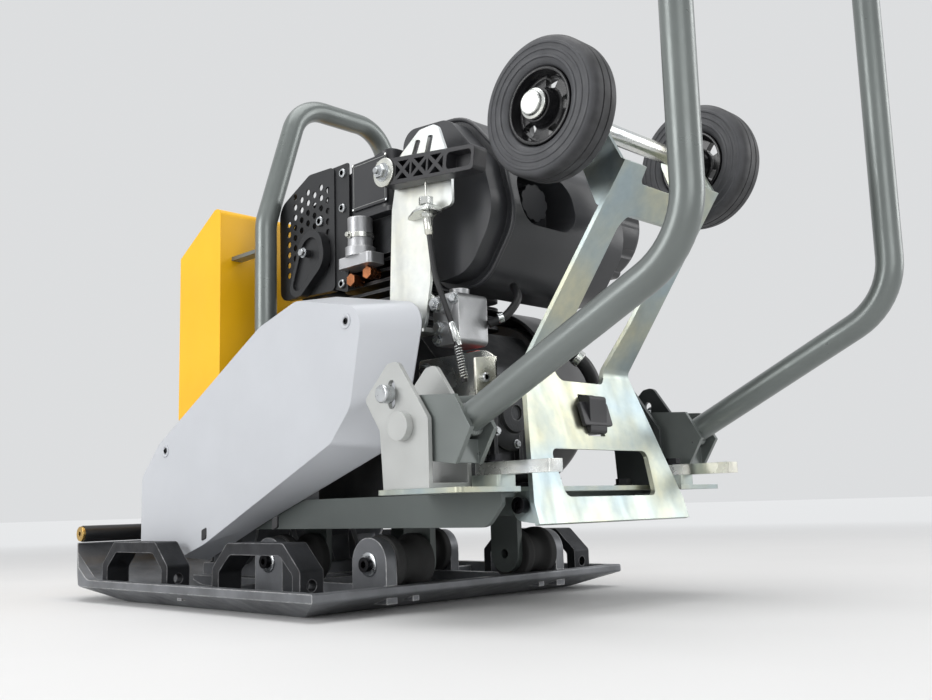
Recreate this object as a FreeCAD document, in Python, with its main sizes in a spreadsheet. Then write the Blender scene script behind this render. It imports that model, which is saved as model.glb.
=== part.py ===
import FreeCAD, Part
import math
import os

import Sketcher

# Plate compactor with a single-direction exciter, a belt drive and a diesel engine.
# Frame: +Z up, -Y is the direction of travel, +X is the belt side.
# The origin is the centre of the flat sole that stands on the ground. Lengths in mm.

SIZES = {
    # Base plate
    "plate_half_width": 250, "plate_rear": 272, "plate_front": -292, "plate_rim_height": 28,
    "plate_floor": 13, "sole_half_width": 212, "sole_rear": 212, "sole_front": -168,
    "plate_lip_height": 74, "plate_lip_thickness": 11, "plate_rear_lip": 9, "plate_side_wall": 13,
    "plate_rib_height": 20, "plate_rib_thickness": 9, "plate_rib_offset": 108,
    # Cast lugs and rubber mounts
    "lug_outer": 146, "lug_inner": 131, "lug_radius": 28, "lug_height": 50,
    "mount_rear": 234, "mount_front": 48, "rubber_inner": 77, "rubber_radius": 31,
    "rubber_waist": 23, "rubber_flange": 5, "mount_arm_inner": 68, "mount_bolt_radius": 5,
    "mount_arm_radius": 22, "mount_arm_thickness": 8,
    # Carry handles on the plate
    "carry_outer": 243, "carry_inner": 205, "carry_length": 164, "carry_top_length": 104,
    "carry_height": 76, "carry_bar": 13, "carry_front_start": -195, "carry_rear_start": 68,
    "carry_slope_start": 48,
    # Exciter
    "exciter_y": -96, "exciter_height": 100, "exciter_radius": 62, "exciter_half_length": 104,
    "exciter_wall": 12, "exciter_foot_half": 88, "exciter_foot_height": 16,
    "foot_bolt_x": 79, "foot_bolt_y": 75, "foot_bolt_radius": 5, "plate_seat": 13,
    "exciter_cover_length": 14, "exciter_cover_radius": 52,
    "bearing_outer": 40, "bearing_width": 22, "shaft_radius": 17.5, "shaft_fit": 0.05,
    "eccentric_radius": 40, "eccentric_half_length": 62, "exciter_shaft_end": 183,
    # Belt drive
    "pulley_inner": 156, "pulley_outer": 181, "belt_middle": 168.5, "belt_half_width": 8,
    "belt_height": 9, "exciter_pulley_radius": 35, "clutch_pulley_radius": 62,
    "crank_y": 182, "crank_height": 244, "pulley_bore": 12.05,
    # Console frame
    "console_half_width": 150, "console_top": 121, "console_bottom": 88, "console_sheet": 5,
    "console_front": -28, "console_rear": 440, "console_tray_rear": 396,
    # Engine
    "crankcase_inner": -96, "crankcase_outer": 92, "crankcase_front": 88, "crankcase_rear": 292,
    "crankcase_top": 318, "engine_bolt_left": 75, "engine_bolt_right": -79, "engine_bolt_radius": 4,
    "engine_foot": 14, "pump_face": 106, "pump_foot": 280, "oil_x": 54, "oil_z": 264,
    "cylinder_radius": 56, "cylinder_y": 176,
    "fin_radius": 84, "fin_thickness": 4, "fin_pitch": 12, "head_bottom": 408, "head_top": 452,
    "shroud_x": -92, "rocker_top": 492,
    "housing_outer": -196, "housing_radius": 116, "flywheel_radius": 98,
    # Silencer and its guard
    "muffler_front": 20, "muffler_rear": 104, "muffler_bottom": 372, "muffler_top": 516,
    "muffler_inner": -62, "muffler_outer": 92, "guard_sheet": 2, "guard_x": 105,
    "guard_hole": 4.1, "guard_pitch": 13.5,
    # Fuel tank and air filter
    "tank_inner": -132, "tank_outer": 92, "tank_front": 236, "tank_rear": 392,
    "tank_bottom": 346, "tank_top": 552, "fuel_neck_x": 6, "fuel_neck_z": 446,
    "filter_inner": -206, "filter_outer": -136,
    # Control bracket and throttle
    "bracket_x": 118, "bracket_sheet": 4, "throttle_y": 269, "throttle_height": 476,
    "throttle_length": 138, "throttle_width": 19, "throttle_hub": 15, "throttle_inner": 126,
    # Belt guard
    "guard_face": 192, "guard_back": 152, "guard_wall": 3.5,
    # Water tank
    "water_half_width": 149, "water_front": -198, "water_rear": -58, "water_bottom": 229,
    "water_top": 510, "water_wall": 4, "water_slope_rise": 54, "water_slope_run": 92,
    "water_facet": 30, "water_neck_x": -40,
    # Lifting frame
    "lift_radius": 14, "lift_wall": 2.5, "lift_y": 10, "lift_leg": 124, "lift_knee": 478,
    "lift_top_half": 70, "lift_top": 652, "lift_bend": 52,
    # Handle and its brackets
    "handle_radius": 14, "handle_wall": 2.5, "handle_half_width": 191, "handle_foot_y": 432,
    "handle_foot_height": 187, "handle_knee_y": 680, "handle_knee_height": 306,
    "handle_top": 950, "handle_knee_bend": 75, "handle_corner_bend": 90,
    "hinge_y": 371, "hinge_height": 185, "hinge_bolt": 8, "hinge_fit": 0.05,
    "cheek_outer": 216, "cheek_inner": 160, "cheek_sheet": 5, "cheek_base": 126,
    "bush_radius": 28, "yoke_radius": 30, "yoke_sheet": 5, "yoke_outer": 209, "yoke_inner": 173,
    # Wheel carriage
    "pivot_y": 438, "pivot_height": 108, "pivot_bolt": 5, "carriage_sheet": 5,
    "carriage_foot_y": 460, "carriage_foot_height": 90, "carriage_bend_y": 414,
    "carriage_bend_height": 250, "carriage_top_y": 548, "carriage_top_height": 432,
    "carriage_foot_half": 127, "carriage_bend_half": 88, "carriage_ear": 84,
    "axle_y": 497, "axle_height": 484, "axle_radius": 10, "axle_half_length": 158,
    "wheel_x": 132, "wheel_radius": 70, "wheel_half_width": 21, "rim_radius": 38, "hub_radius": 17,
    "wheel_fit": 0.06,
    # Bolts of the console
    "console_bolt_radius": 5, "stop_bar_x": 152, "stop_bolt_y": 426, "bracket_bolt_x": 188,
    "bracket_bolt_y": 352, "cross_bolt_x": 60, "cross_bolt_y": 422,
    # Sprinkler bar
    "sprinkler_radius": 11, "sprinkler_wall": 2, "sprinkler_y": -270, "sprinkler_height": 86,
    "sprinkler_half": 228,
    # Throttle cable and hoses
    "cable_radius": 3, "hose_radius": 9, "hose_wall": 2,
    # Gaps
    "gap": 0.4, "play": 1,
}

DOC = FreeCAD.newDocument("PlateCompactor")
SHEET = DOC.addObject("Spreadsheet::Sheet", "Dims")
PIECES = []
V = FreeCAD.Vector
TURN_TO_X = FreeCAD.Rotation(V(0, 1, 0), 90)
TURN_TO_Y = FreeCAD.Rotation(V(1, 0, 0), -90)
UPRIGHT = FreeCAD.Rotation()


class Size:
    """A length that knows both its value and the sheet formula it comes from."""

    def __init__(self, value, formula):
        self.value = float(value)
        self.formula = formula

    def __add__(self, other):
        return combine(self, other, "+", lambda a, b: a + b)

    def __radd__(self, other):
        return combine(other, self, "+", lambda a, b: a + b)

    def __sub__(self, other):
        return combine(self, other, "-", lambda a, b: a - b)

    def __rsub__(self, other):
        return combine(other, self, "-", lambda a, b: a - b)

    def __mul__(self, other):
        return combine(self, other, "*", lambda a, b: a * b)

    def __rmul__(self, other):
        return combine(other, self, "*", lambda a, b: a * b)

    def __truediv__(self, other):
        return combine(self, other, "/", lambda a, b: a / b)

    def __neg__(self):
        return combine(-1.0, self, "*", lambda a, b: a * b)

    def __float__(self):
        return self.value


def as_size(item):
    """Gives a plain number the same two sides as a Size."""
    if isinstance(item, Size):
        return item
    return Size(item, repr(round(float(item), 6)))


def combine(first, second, sign, rule):
    """Joins two sizes into one, in value and in formula."""
    left = as_size(first)
    right = as_size(second)
    return Size(rule(left.value, right.value), "(%s %s %s)" % (left.formula, sign, right.formula))


class Sizes:
    """Writes the driving dimensions into the sheet and hands them out by name."""

    def __init__(self, table):
        for row, (alias, value) in enumerate(table.items(), start=1):
            SHEET.set("A%d" % row, alias)
            SHEET.set("B%d" % row, str(value))
            SHEET.setAlias("B%d" % row, alias)
            setattr(self, alias, Size(value, "Dims." + alias))


D = Sizes(SIZES)
DOC.recompute()


def bind(thing, prop, size):
    """Sets a property to a size and ties it to the sheet."""
    size = as_size(size)
    setattr(thing, prop, size.value)
    if "Dims." in size.formula:
        thing.setExpression(prop, size.formula)


def place(thing, position, rotation=UPRIGHT):
    """Places an object and ties its position to the sheet."""
    sizes = [as_size(item) for item in position]
    thing.Placement = FreeCAD.Placement(V(*[size.value for size in sizes]), rotation)
    for axis, size in zip("xyz", sizes):
        if "Dims." in size.formula:
            thing.setExpression("Placement.Base." + axis, size.formula)


def corner_arc(before, corner, after, radius):
    """The arc that rounds a corner of an outline, with its two tangent points."""
    to_before = (before - corner).normalize()
    to_after = (after - corner).normalize()
    half_angle = to_before.getAngle(to_after) / 2
    reach = radius / math.tan(half_angle)
    start = corner + to_before * reach
    end = corner + to_after * reach
    inward = (to_before + to_after).normalize()
    middle = corner + inward * (radius / math.sin(half_angle) - radius)
    return start, middle, end


class Loop:
    """A closed outline of corners (u, v) or (u, v, radius of the corner)."""

    def __init__(self, corners, radius=0):
        full = [tuple(corner) if len(corner) == 3 else tuple(corner) + (radius,) for corner in corners]
        plain = [(float(u), float(v)) for u, v, _ in full]
        doubled_area = sum(plain[i - 1][0] * plain[i][1] - plain[i][0] * plain[i - 1][1]
                           for i in range(len(plain)))
        self.corners = full if doubled_area > 0 else full[::-1]

    def draw(self, sketch):
        """Draws the outline: straight sides, tangent arcs, and a fixed point per corner."""
        points = [V(float(u), float(v), 0) for u, v, _ in self.corners]
        count = len(points)
        starts = []
        ends = []
        for i, (_, _, radius) in enumerate(self.corners):
            if float(radius) > 0:
                arc = corner_arc(points[i - 1], points[i], points[(i + 1) % count], float(radius))
            else:
                arc = (points[i], points[i], points[i])
            starts.append(arc)
            ends.append(arc[2])
        first = sketch.GeometryCount
        sides = [Part.LineSegment(ends[i], starts[(i + 1) % count][0]) for i in range(count)]
        sketch.addGeometry(sides, False)
        rules = []
        names = []
        for i, (u, v, radius) in enumerate(self.corners):
            incoming = first + (i - 1) % count
            outgoing = first + i
            if float(radius) > 0:
                start, middle, end = starts[i]
                turns_left = (middle - start).cross(end - middle).z > 0
                ordered = (start, middle, end) if turns_left else (end, middle, start)
                arc = sketch.addGeometry(Part.Arc(*ordered), False)
                arc_start = 1 if turns_left else 2
                rules.append(Sketcher.Constraint("Tangent", incoming, 2, arc, arc_start))
                rules.append(Sketcher.Constraint("Tangent", arc, 3 - arc_start, outgoing, 1))
                rules.append(Sketcher.Constraint("Radius", arc, float(radius)))
                names.append((len(rules) - 1, radius))
                mark = sketch.addGeometry(Part.Point(points[i]), True)
                rules.append(Sketcher.Constraint("PointOnObject", mark, 1, incoming))
                rules.append(Sketcher.Constraint("PointOnObject", mark, 1, outgoing))
            else:
                rules.append(Sketcher.Constraint("Coincident", incoming, 2, outgoing, 1))
                mark = outgoing
            rules.append(Sketcher.Constraint("DistanceX", -1, 1, mark, 1, float(u)))
            names.append((len(rules) - 1, u))
            rules.append(Sketcher.Constraint("DistanceY", -1, 1, mark, 1, float(v)))
            names.append((len(rules) - 1, v))
        tie_rules(sketch, rules, names)


class Circle:
    """A circle in an outline."""

    def __init__(self, u, v, radius):
        self.u = u
        self.v = v
        self.radius = radius

    def draw(self, sketch):
        """Draws the circle with its centre and radius held."""
        ring = Part.Circle(V(float(self.u), float(self.v), 0), V(0, 0, 1), float(self.radius))
        index = sketch.addGeometry(ring, False)
        rules = [
            Sketcher.Constraint("DistanceX", -1, 1, index, 3, float(self.u)),
            Sketcher.Constraint("DistanceY", -1, 1, index, 3, float(self.v)),
            Sketcher.Constraint("Radius", index, float(self.radius)),
        ]
        tie_rules(sketch, rules, [(0, self.u), (1, self.v), (2, self.radius)])


def tie_rules(sketch, rules, names):
    """Adds constraints and ties the sized ones to the sheet."""
    first = sketch.ConstraintCount
    sketch.addConstraint(rules)
    for offset, size in names:
        size = as_size(size)
        if "Dims." in size.formula:
            sketch.setExpression("Constraints[%d]" % (first + offset), size.formula)


def box_loop(u_low, v_low, u_high, v_high, radius=0):
    """A rectangle, with round corners where a radius is given."""
    return Loop([(u_low, v_low), (u_high, v_low), (u_high, v_high), (u_low, v_high)], radius)


class Piece:
    """One separate physical piece, built as a body of sketched features."""

    def __init__(self, name, position=(0, 0, 0), rotation=UPRIGHT):
        self.body = DOC.addObject("PartDesign::Body", name)
        self.body.Label = name
        self.position = position
        self.rotation = rotation
        PIECES.append(self)

    def sketch(self, plane, loops, level=0):
        """A sketch on one of the body's own planes, moved along the plane's normal."""
        flat = [item for item in self.body.Origin.OriginFeatures if item.Role == plane + "_Plane"][0]
        sketch = self.body.newObject("Sketcher::SketchObject", "Outline")
        sketch.AttachmentSupport = [(flat, "")]
        sketch.MapMode = "FlatFace"
        level = as_size(level)
        sketch.AttachmentOffset = FreeCAD.Placement(V(0, 0, level.value), UPRIGHT)
        if "Dims." in level.formula:
            sketch.setExpression("AttachmentOffset.Base.z", level.formula)
        for loop in loops:
            loop.draw(sketch)
        return sketch

    def extrude(self, kind, plane, loops, low, high):
        """A straight feature between two coordinates along the plane's world axis."""
        level = -high if plane == "XZ" else low
        feature = self.body.newObject("PartDesign::" + kind, kind)
        feature.Profile = self.sketch(plane, loops, level)
        bind(feature, "Length", high - low)
        self.body.Tip = feature
        return feature

    def pad(self, plane, loops, low, high):
        """Adds material."""
        return self.extrude("Pad", plane, loops, as_size(low), as_size(high))

    def pocket(self, plane, loops, low, high):
        """Takes material away."""
        feature = self.extrude("Pocket", plane, loops, as_size(low), as_size(high))
        feature.Reversed = True
        return feature

    def turn(self, kind, plane, loops, axis):
        """A turned feature about the sketch's own axis."""
        feature = self.body.newObject("PartDesign::" + kind, kind)
        profile = self.sketch(plane, loops)
        feature.Profile = profile
        feature.ReferenceAxis = (profile, [axis + "_Axis"])
        feature.Angle = 360
        self.body.Tip = feature
        return feature

    def blend(self, kind, plane, first, second, low, high):
        """A lofted feature between two outlines at two levels."""
        feature = self.body.newObject("PartDesign::" + kind, kind)
        feature.Profile = self.sketch(plane, [Loop(first)], low)
        feature.Sections = [self.sketch(plane, [Loop(second)], high)]
        feature.Ruled = True
        self.body.Tip = feature
        return feature

    def loft(self, plane, first, second, low, high):
        """Adds material between two outlines."""
        return self.blend("AdditiveLoft", plane, first, second, low, high)

    def hollow_loft(self, plane, first, second, low, high):
        """Takes material away between two outlines."""
        return self.blend("SubtractiveLoft", plane, first, second, low, high)

    def revolve(self, plane, loops, axis):
        """Adds a turned solid."""
        return self.turn("Revolution", plane, loops, axis)

    def groove(self, plane, loops, axis):
        """Cuts a turned groove."""
        return self.turn("Groove", plane, loops, axis)

    def pattern(self, features, axis, count):
        """Repeats features around one of the body's axes."""
        line = [item for item in self.body.Origin.OriginFeatures if item.Role == axis + "_Axis"][0]
        pattern = self.body.newObject("PartDesign::PolarPattern", "Pattern")
        pattern.Originals = features
        pattern.Axis = (line, [""])
        pattern.Angle = 360
        pattern.Occurrences = count
        self.body.Tip = pattern
        return pattern

    def row(self, features, axis, length, count):
        """Repeats features along one of the body's axes."""
        line = [item for item in self.body.Origin.OriginFeatures if item.Role == axis + "_Axis"][0]
        pattern = self.body.newObject("PartDesign::LinearPattern", "Row")
        pattern.Originals = features
        pattern.Direction = (line, [""])
        bind(pattern, "Length", length)
        pattern.Occurrences = count
        self.body.Tip = pattern
        return pattern

    def mirror(self, features, plane):
        """Repeats features on the other side of one of the body's planes."""
        flat = [item for item in self.body.Origin.OriginFeatures if item.Role == plane + "_Plane"][0]
        mirror = self.body.newObject("PartDesign::Mirrored", "Mirror")
        mirror.Originals = features
        mirror.MirrorPlane = (flat, [""])
        self.body.Tip = mirror
        return mirror

    def finish(self):
        """Places the finished piece and returns its object."""
        place(self.body, self.position, self.rotation)
        return self.body


class Group:
    """A node made of several equal loose solids, such as a set of bolts."""

    def __init__(self, name):
        self.name = name
        self.items = []
        PIECES.append(self)

    def finish(self):
        """Joins the solids into one compound, without fusing them."""
        group = DOC.addObject("Part::Compound", self.name)
        group.Label = self.name
        group.Links = self.items
        return group

    def cylinder(self, centre, direction, radius, length):
        """A round bar from its centre of one end, along a direction."""
        bar = DOC.addObject("Part::Cylinder", self.name + "Bar")
        bind(bar, "Radius", radius)
        bind(bar, "Height", length)
        place(bar, centre, FreeCAD.Rotation(V(0, 0, 1), V(*direction)))
        return bar

    def hexagon(self, centre, direction, radius, length):
        """A six-sided bar from the centre of one end, along a direction."""
        bar = DOC.addObject("Part::Prism", self.name + "Hex")
        bar.Polygon = 6
        bind(bar, "Circumradius", radius)
        bind(bar, "Height", length)
        place(bar, centre, FreeCAD.Rotation(V(0, 0, 1), V(*direction)))
        return bar

    def fuse(self, shapes):
        """Joins solids into one piece of the group."""
        joined = DOC.addObject("Part::MultiFuse", self.name + "Piece")
        joined.Shapes = shapes
        return joined

    def bolt(self, seat, direction, radius, grip):
        """A hex bolt with its washer: the head stands out along the direction."""
        out = V(*direction)
        seat_sizes = [as_size(item) for item in seat]
        inward = [size - component * as_size(grip) for size, component in zip(seat_sizes, out)]
        shank = self.cylinder(inward, direction, radius, as_size(grip) + radius)
        washer = self.cylinder(seat, direction, radius * 2, radius * 0.3)
        top = [size + component * as_size(radius * 0.3) for size, component in zip(seat_sizes, out)]
        cap = self.hexagon(top, direction, radius * 1.7, radius * 1.2)
        self.items.append(self.fuse([shank, washer, cap]))

    def socket_bolt(self, seat, direction, radius, grip):
        """A socket-head bolt with a round head and a hexagon recess."""
        out = V(*direction)
        seat_sizes = [as_size(item) for item in seat]
        inward = [size - component * as_size(grip) for size, component in zip(seat_sizes, out)]
        shank = self.cylinder(inward, direction, radius, as_size(grip) + radius)
        head = self.cylinder(seat, direction, radius * 1.6, radius * 1.6)
        floor = [size + component * as_size(radius * 0.7) for size, component in zip(seat_sizes, out)]
        recess = self.hexagon(floor, direction, radius * 0.85, radius * 2)
        cut = DOC.addObject("Part::Cut", self.name + "Socket")
        cut.Base = self.fuse([shank, head])
        cut.Tool = recess
        self.items.append(cut)


class Formed:
    """A piece whose shape is worked out in code, such as a bent tube."""

    def __init__(self, name, shape):
        self.name = name
        self.shape = shape
        PIECES.append(self)

    def finish(self):
        """Stores the shape as a plain feature of its own."""
        feature = DOC.addObject("Part::Feature", self.name)
        feature.Label = self.name
        feature.Shape = self.shape
        return feature


def bent_path(points, radii):
    """Straight runs joined by tangent arcs, through a list of corners."""
    corners = [V(*[float(item) for item in point]) for point in points]
    edges = []
    last = corners[0]
    for i in range(1, len(corners) - 1):
        start, middle, end = corner_arc(corners[i - 1], corners[i], corners[i + 1], float(radii[i - 1]))
        edges.append(Part.LineSegment(last, start).toShape())
        edges.append(Part.Arc(start, middle, end).toShape())
        last = end
    edges.append(Part.LineSegment(last, corners[-1]).toShape())
    return Part.Wire(edges)


def sweep(path, radius):
    """A round bar along a path."""
    first = path.Edges[0]
    start = first.valueAt(first.FirstParameter)
    heading = first.tangentAt(first.FirstParameter)
    ring = Part.Wire([Part.Circle(start, heading, float(radius)).toShape()])
    return path.makePipeShell([ring], True, False)


def bent_tube(points, radii, radius, wall):
    """A bent tube, open at both ends."""
    path = bent_path(points, radii)
    return sweep(path, radius).cut(sweep(path, float(radius) - float(wall)))


def base_plate():
    """The cast plate: a tray with raised edges, a high front lip, lugs and ribs."""
    piece = Piece("base_plate")
    front = D.plate_front
    rear = D.plate_rear
    rim = D.plate_rim_height
    lip = D.plate_lip_height
    wall = D.plate_side_wall
    underside = [
        (front, lip, 3), (front + 6, rim + 10, 34), (D.sole_front, 0, 70), (D.sole_rear, 0, 40),
        (rear, rim - D.plate_rear_lip, 3), (rear, rim, 2),
    ]
    pan = Loop(underside + [
        (rear - wall, rim, 1), (rear - wall - 20, D.plate_floor, 6), (D.sole_front + 10, D.plate_floor, 60),
        (front + 24, rim + 16, 26), (front + D.plate_lip_thickness, lip, 3),
    ])
    piece.pad("YZ", [pan], -D.plate_half_width, D.plate_half_width)
    side = Loop(underside + [(front + 84, rim, 30), (front + D.plate_lip_thickness, lip, 3)])
    edge = piece.pad("YZ", [side], D.plate_half_width - wall, D.plate_half_width)
    piece.mirror([edge], "YZ")
    flare = Loop([
        (D.sole_half_width, -1), (D.plate_half_width, rim - D.plate_rear_lip),
        (D.plate_half_width + 1, rim - D.plate_rear_lip), (D.plate_half_width + 1, -1),
    ])
    sloped = piece.pocket("XZ", [flare], front - 1, rear + 1)
    piece.mirror([sloped], "YZ")
    corner = Loop([
        (D.plate_half_width - 26, D.plate_front - 1), (D.plate_half_width + 1, D.plate_front - 1),
        (D.plate_half_width + 1, D.plate_front + 62),
    ])
    trimmed = piece.pocket("XY", [corner], -1, D.plate_lip_height + 1)
    piece.mirror([trimmed], "YZ")
    for centre in (D.mount_rear, D.mount_front):
        lug = Loop([
            (centre - D.lug_radius, D.plate_floor - 4), (centre + D.lug_radius, D.plate_floor - 4),
            (centre + D.lug_radius, D.lug_height + D.lug_radius, D.lug_radius - 1),
            (centre - D.lug_radius, D.lug_height + D.lug_radius, D.lug_radius - 1),
        ])
        bolt_hole = Circle(centre, D.lug_height, D.mount_bolt_radius + 0.5)
        ear = piece.pad("YZ", [lug, bolt_hole], D.lug_inner, D.lug_outer)
        piece.mirror([ear], "YZ")
    rib_top = D.plate_floor + D.plate_rib_height - 8
    rib = box_loop(D.plate_rib_offset - D.plate_rib_thickness, D.sole_front - 10,
                   D.plate_rib_offset, D.plate_rear - wall + 2)
    long_rib = piece.pad("XY", [rib], D.plate_floor - 3, rib_top)
    piece.mirror([long_rib], "YZ")
    cross = box_loop(-D.plate_half_width + wall - 2, 0, D.plate_half_width - wall + 2, D.plate_rib_thickness)
    piece.pad("XY", [cross], D.plate_floor - 3, rib_top - 3)
    seat = D.exciter_foot_half + 4
    piece.pad("XY", [box_loop(-D.exciter_half_length - 6, D.exciter_y - seat, D.exciter_half_length + 6,
                              D.exciter_y + seat, 8)], D.plate_floor - 3, D.plate_floor + D.plate_seat)
    spots = [Circle(across * D.foot_bolt_x, D.exciter_y + along * D.foot_bolt_y, D.foot_bolt_radius + D.gap)
             for across in (-1, 1) for along in (-1, 1)]
    piece.pocket("XY", spots, D.plate_floor, D.plate_floor + D.plate_seat + 1)
    loop_seat = box_loop(D.carry_inner - D.gap, D.carry_front_start - D.gap, D.carry_outer - 8 + D.gap,
                         D.carry_front_start + 24)
    flat = piece.pocket("XY", [loop_seat], D.plate_floor, D.plate_lip_height)
    piece.mirror([flat], "YZ")


def carry_handles(side_name, sign):
    """Two cast carry loops on one side of the plate, each an arch on two feet."""
    group = Group("carry_handles_" + side_name)
    for start in (D.carry_front_start, D.carry_rear_start):
        arch = Piece("carry_arch")
        PIECES.remove(arch)
        top_start = start + (D.carry_length - D.carry_top_length) / 2
        top_end = top_start + D.carry_top_length
        end = start + D.carry_length
        outer = Loop([
            (start, D.plate_floor), (end, D.plate_floor), (end, D.carry_slope_start, 6),
            (top_end, D.carry_height, 8), (top_start, D.carry_height, 8), (start, D.carry_slope_start, 6),
        ])
        bar = D.carry_bar
        inner = Loop([
            (start + bar, D.plate_floor - 1), (end - bar, D.plate_floor - 1),
            (end - bar, D.carry_slope_start - 4, 6), (top_end - 5, D.carry_height - bar, 10),
            (top_start + 5, D.carry_height - bar, 10), (start + bar, D.carry_slope_start - 4, 6),
        ])
        low = D.carry_inner if sign > 0 else -D.carry_outer + 8
        high = D.carry_outer - 8 if sign > 0 else -D.carry_inner
        arch.pad("YZ", [outer], low, high)
        arch.pocket("YZ", [inner], low - 1, high + 1)
        hole = Circle((low + high) / 2, D.plate_floor + 20, 6)
        arch.pocket("XZ", [hole], end - bar - 1, end + 1)
        group.items.append(arch.finish())


def exciter_housing():
    """A cast tube across the plate with flanged feet and cooling ribs."""
    piece = Piece("exciter_housing", (0, D.exciter_y, D.exciter_height))
    wall = D.exciter_wall
    piece.pad("YZ", [Circle(0, 0, D.exciter_radius)], -D.exciter_half_length, D.exciter_half_length)
    floor = D.plate_floor + D.plate_seat - D.exciter_height
    foot_top = floor + D.exciter_foot_height
    foot = Loop([
        (-D.exciter_foot_half, floor), (D.exciter_foot_half, floor), (D.exciter_foot_half, foot_top, 4),
        (D.exciter_radius - 2, foot_top, 3), (D.exciter_radius - 8, 0), (-D.exciter_radius + 8, 0),
        (-D.exciter_radius + 2, foot_top, 3), (-D.exciter_foot_half, foot_top, 4),
    ])
    piece.pad("YZ", [foot], -D.exciter_half_length + 10, D.exciter_half_length - 10)
    rib = Loop([
        (-D.exciter_foot_half + 6, foot_top - 2), (D.exciter_foot_half - 6, foot_top - 2),
        (20, D.exciter_radius + 8, 6), (-20, D.exciter_radius + 8, 6),
    ])
    for centre in (-50, 0, 50):
        piece.pad("YZ", [rib], centre - 4, centre + 4)
    spots = [Circle(across * D.foot_bolt_x, along * D.foot_bolt_y, D.foot_bolt_radius + D.gap)
             for across in (-1, 1) for along in (-1, 1)]
    piece.pocket("XY", spots, floor - 1, foot_top + 1)
    piece.pocket("YZ", [Circle(0, 0, D.exciter_radius - wall)], -D.exciter_half_length - 1,
                 D.exciter_half_length + 1)


def exciter_end_covers():
    """Turned end covers that carry the bearings, one on each end of the tube."""
    group = Group("exciter_end_covers")
    for sign in (1, -1):
        cover = Piece("exciter_cover", (sign * D.exciter_half_length, D.exciter_y, D.exciter_height),
                      UPRIGHT if sign > 0 else FreeCAD.Rotation(V(0, 0, 1), 180))
        PIECES.remove(cover)
        bore = D.bearing_outer + D.shaft_fit
        profile = Loop([
            (-30, bore), (0, bore), (0, D.shaft_radius + 2), (D.exciter_cover_length, D.shaft_radius + 2),
            (D.exciter_cover_length, D.exciter_cover_radius, 4), (D.gap, D.exciter_radius - 1),
            (D.gap, D.exciter_radius - D.exciter_wall - D.gap),
            (-30, D.exciter_radius - D.exciter_wall - D.gap),
        ])
        cover.revolve("XZ", [profile], "H")
        group.items.append(cover.finish())


def exciter_bearings():
    """A roller bearing at each end: outer and inner ring in one turned section."""
    group = Group("exciter_bearings")
    for sign in (1, -1):
        bearing = Piece("exciter_bearing", (sign * (D.exciter_half_length - 28), D.exciter_y, D.exciter_height),
                        UPRIGHT if sign > 0 else FreeCAD.Rotation(V(0, 0, 1), 180))
        PIECES.remove(bearing)
        ring = Loop([
            (0, D.shaft_radius + D.shaft_fit), (D.bearing_width, D.shaft_radius + D.shaft_fit),
            (D.bearing_width, D.shaft_radius + 7), (D.bearing_width - 3, D.shaft_radius + 7),
            (D.bearing_width - 3, D.bearing_outer - 7), (D.bearing_width, D.bearing_outer - 7),
            (D.bearing_width, D.bearing_outer), (0, D.bearing_outer),
            (0, D.bearing_outer - 7), (3, D.bearing_outer - 7), (3, D.shaft_radius + 7), (0, D.shaft_radius + 7),
        ])
        bearing.revolve("XZ", [ring], "H")
        group.items.append(bearing.finish())


def exciter_shaft():
    """The shaft with its eccentric weight, a half cylinder off the axis."""
    piece = Piece("exciter_shaft", (0, D.exciter_y, D.exciter_height))
    profile = Loop([
        (-D.exciter_half_length - 4, 0), (D.exciter_shaft_end, 0), (D.exciter_shaft_end, 12),
        (D.exciter_half_length + D.exciter_cover_length + 6, 12),
        (D.exciter_half_length + D.exciter_cover_length + 6, D.shaft_radius),
        (-D.exciter_half_length - 4, D.shaft_radius),
    ])
    piece.revolve("XZ", [profile], "H")
    reach = D.eccentric_radius + 4
    weight = Loop([
        (-reach, -4), (reach, -4), (reach, -reach, 34), (-reach, -reach, 34),
    ])
    piece.pad("YZ", [weight], -D.eccentric_half_length, D.eccentric_half_length)


def pulley(name, position, radius, hub_low, hub_high, webbed):
    """A V-belt pulley with a hub and a bore, and on a large one a thin web with holes."""
    piece = Piece(name, position)
    low = D.pulley_inner
    high = D.pulley_outer
    middle = D.belt_middle
    groove = D.belt_half_width + D.gap
    bore = D.pulley_bore
    hub = bore + 9
    outer_side = [(high, hub)]
    inner_side = [(low, hub)]
    if webbed:
        outer_side = [(middle + 5, hub), (middle + 5, radius - 22), (high, radius - 18)]
        inner_side = [(low, radius - 18), (middle - 5, radius - 22), (middle - 5, hub)]
    rim = [
        (high, radius), (middle + groove + 1, radius), (middle + groove - 2, radius - 12),
        (middle - groove + 2, radius - 12), (middle - groove - 1, radius), (low, radius),
    ]
    ends = [(hub_low, hub), (hub_low, bore), (hub_high, bore), (hub_high, hub)]
    piece.revolve("XZ", [Loop(ends + outer_side + rim + inner_side)], "H")
    if webbed:
        hole = piece.pocket("YZ", [Circle((radius + bore) / 2 - 6, 0, 5)], middle - 10, middle + 10)
        piece.pattern([hole], "X", 5)


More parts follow.
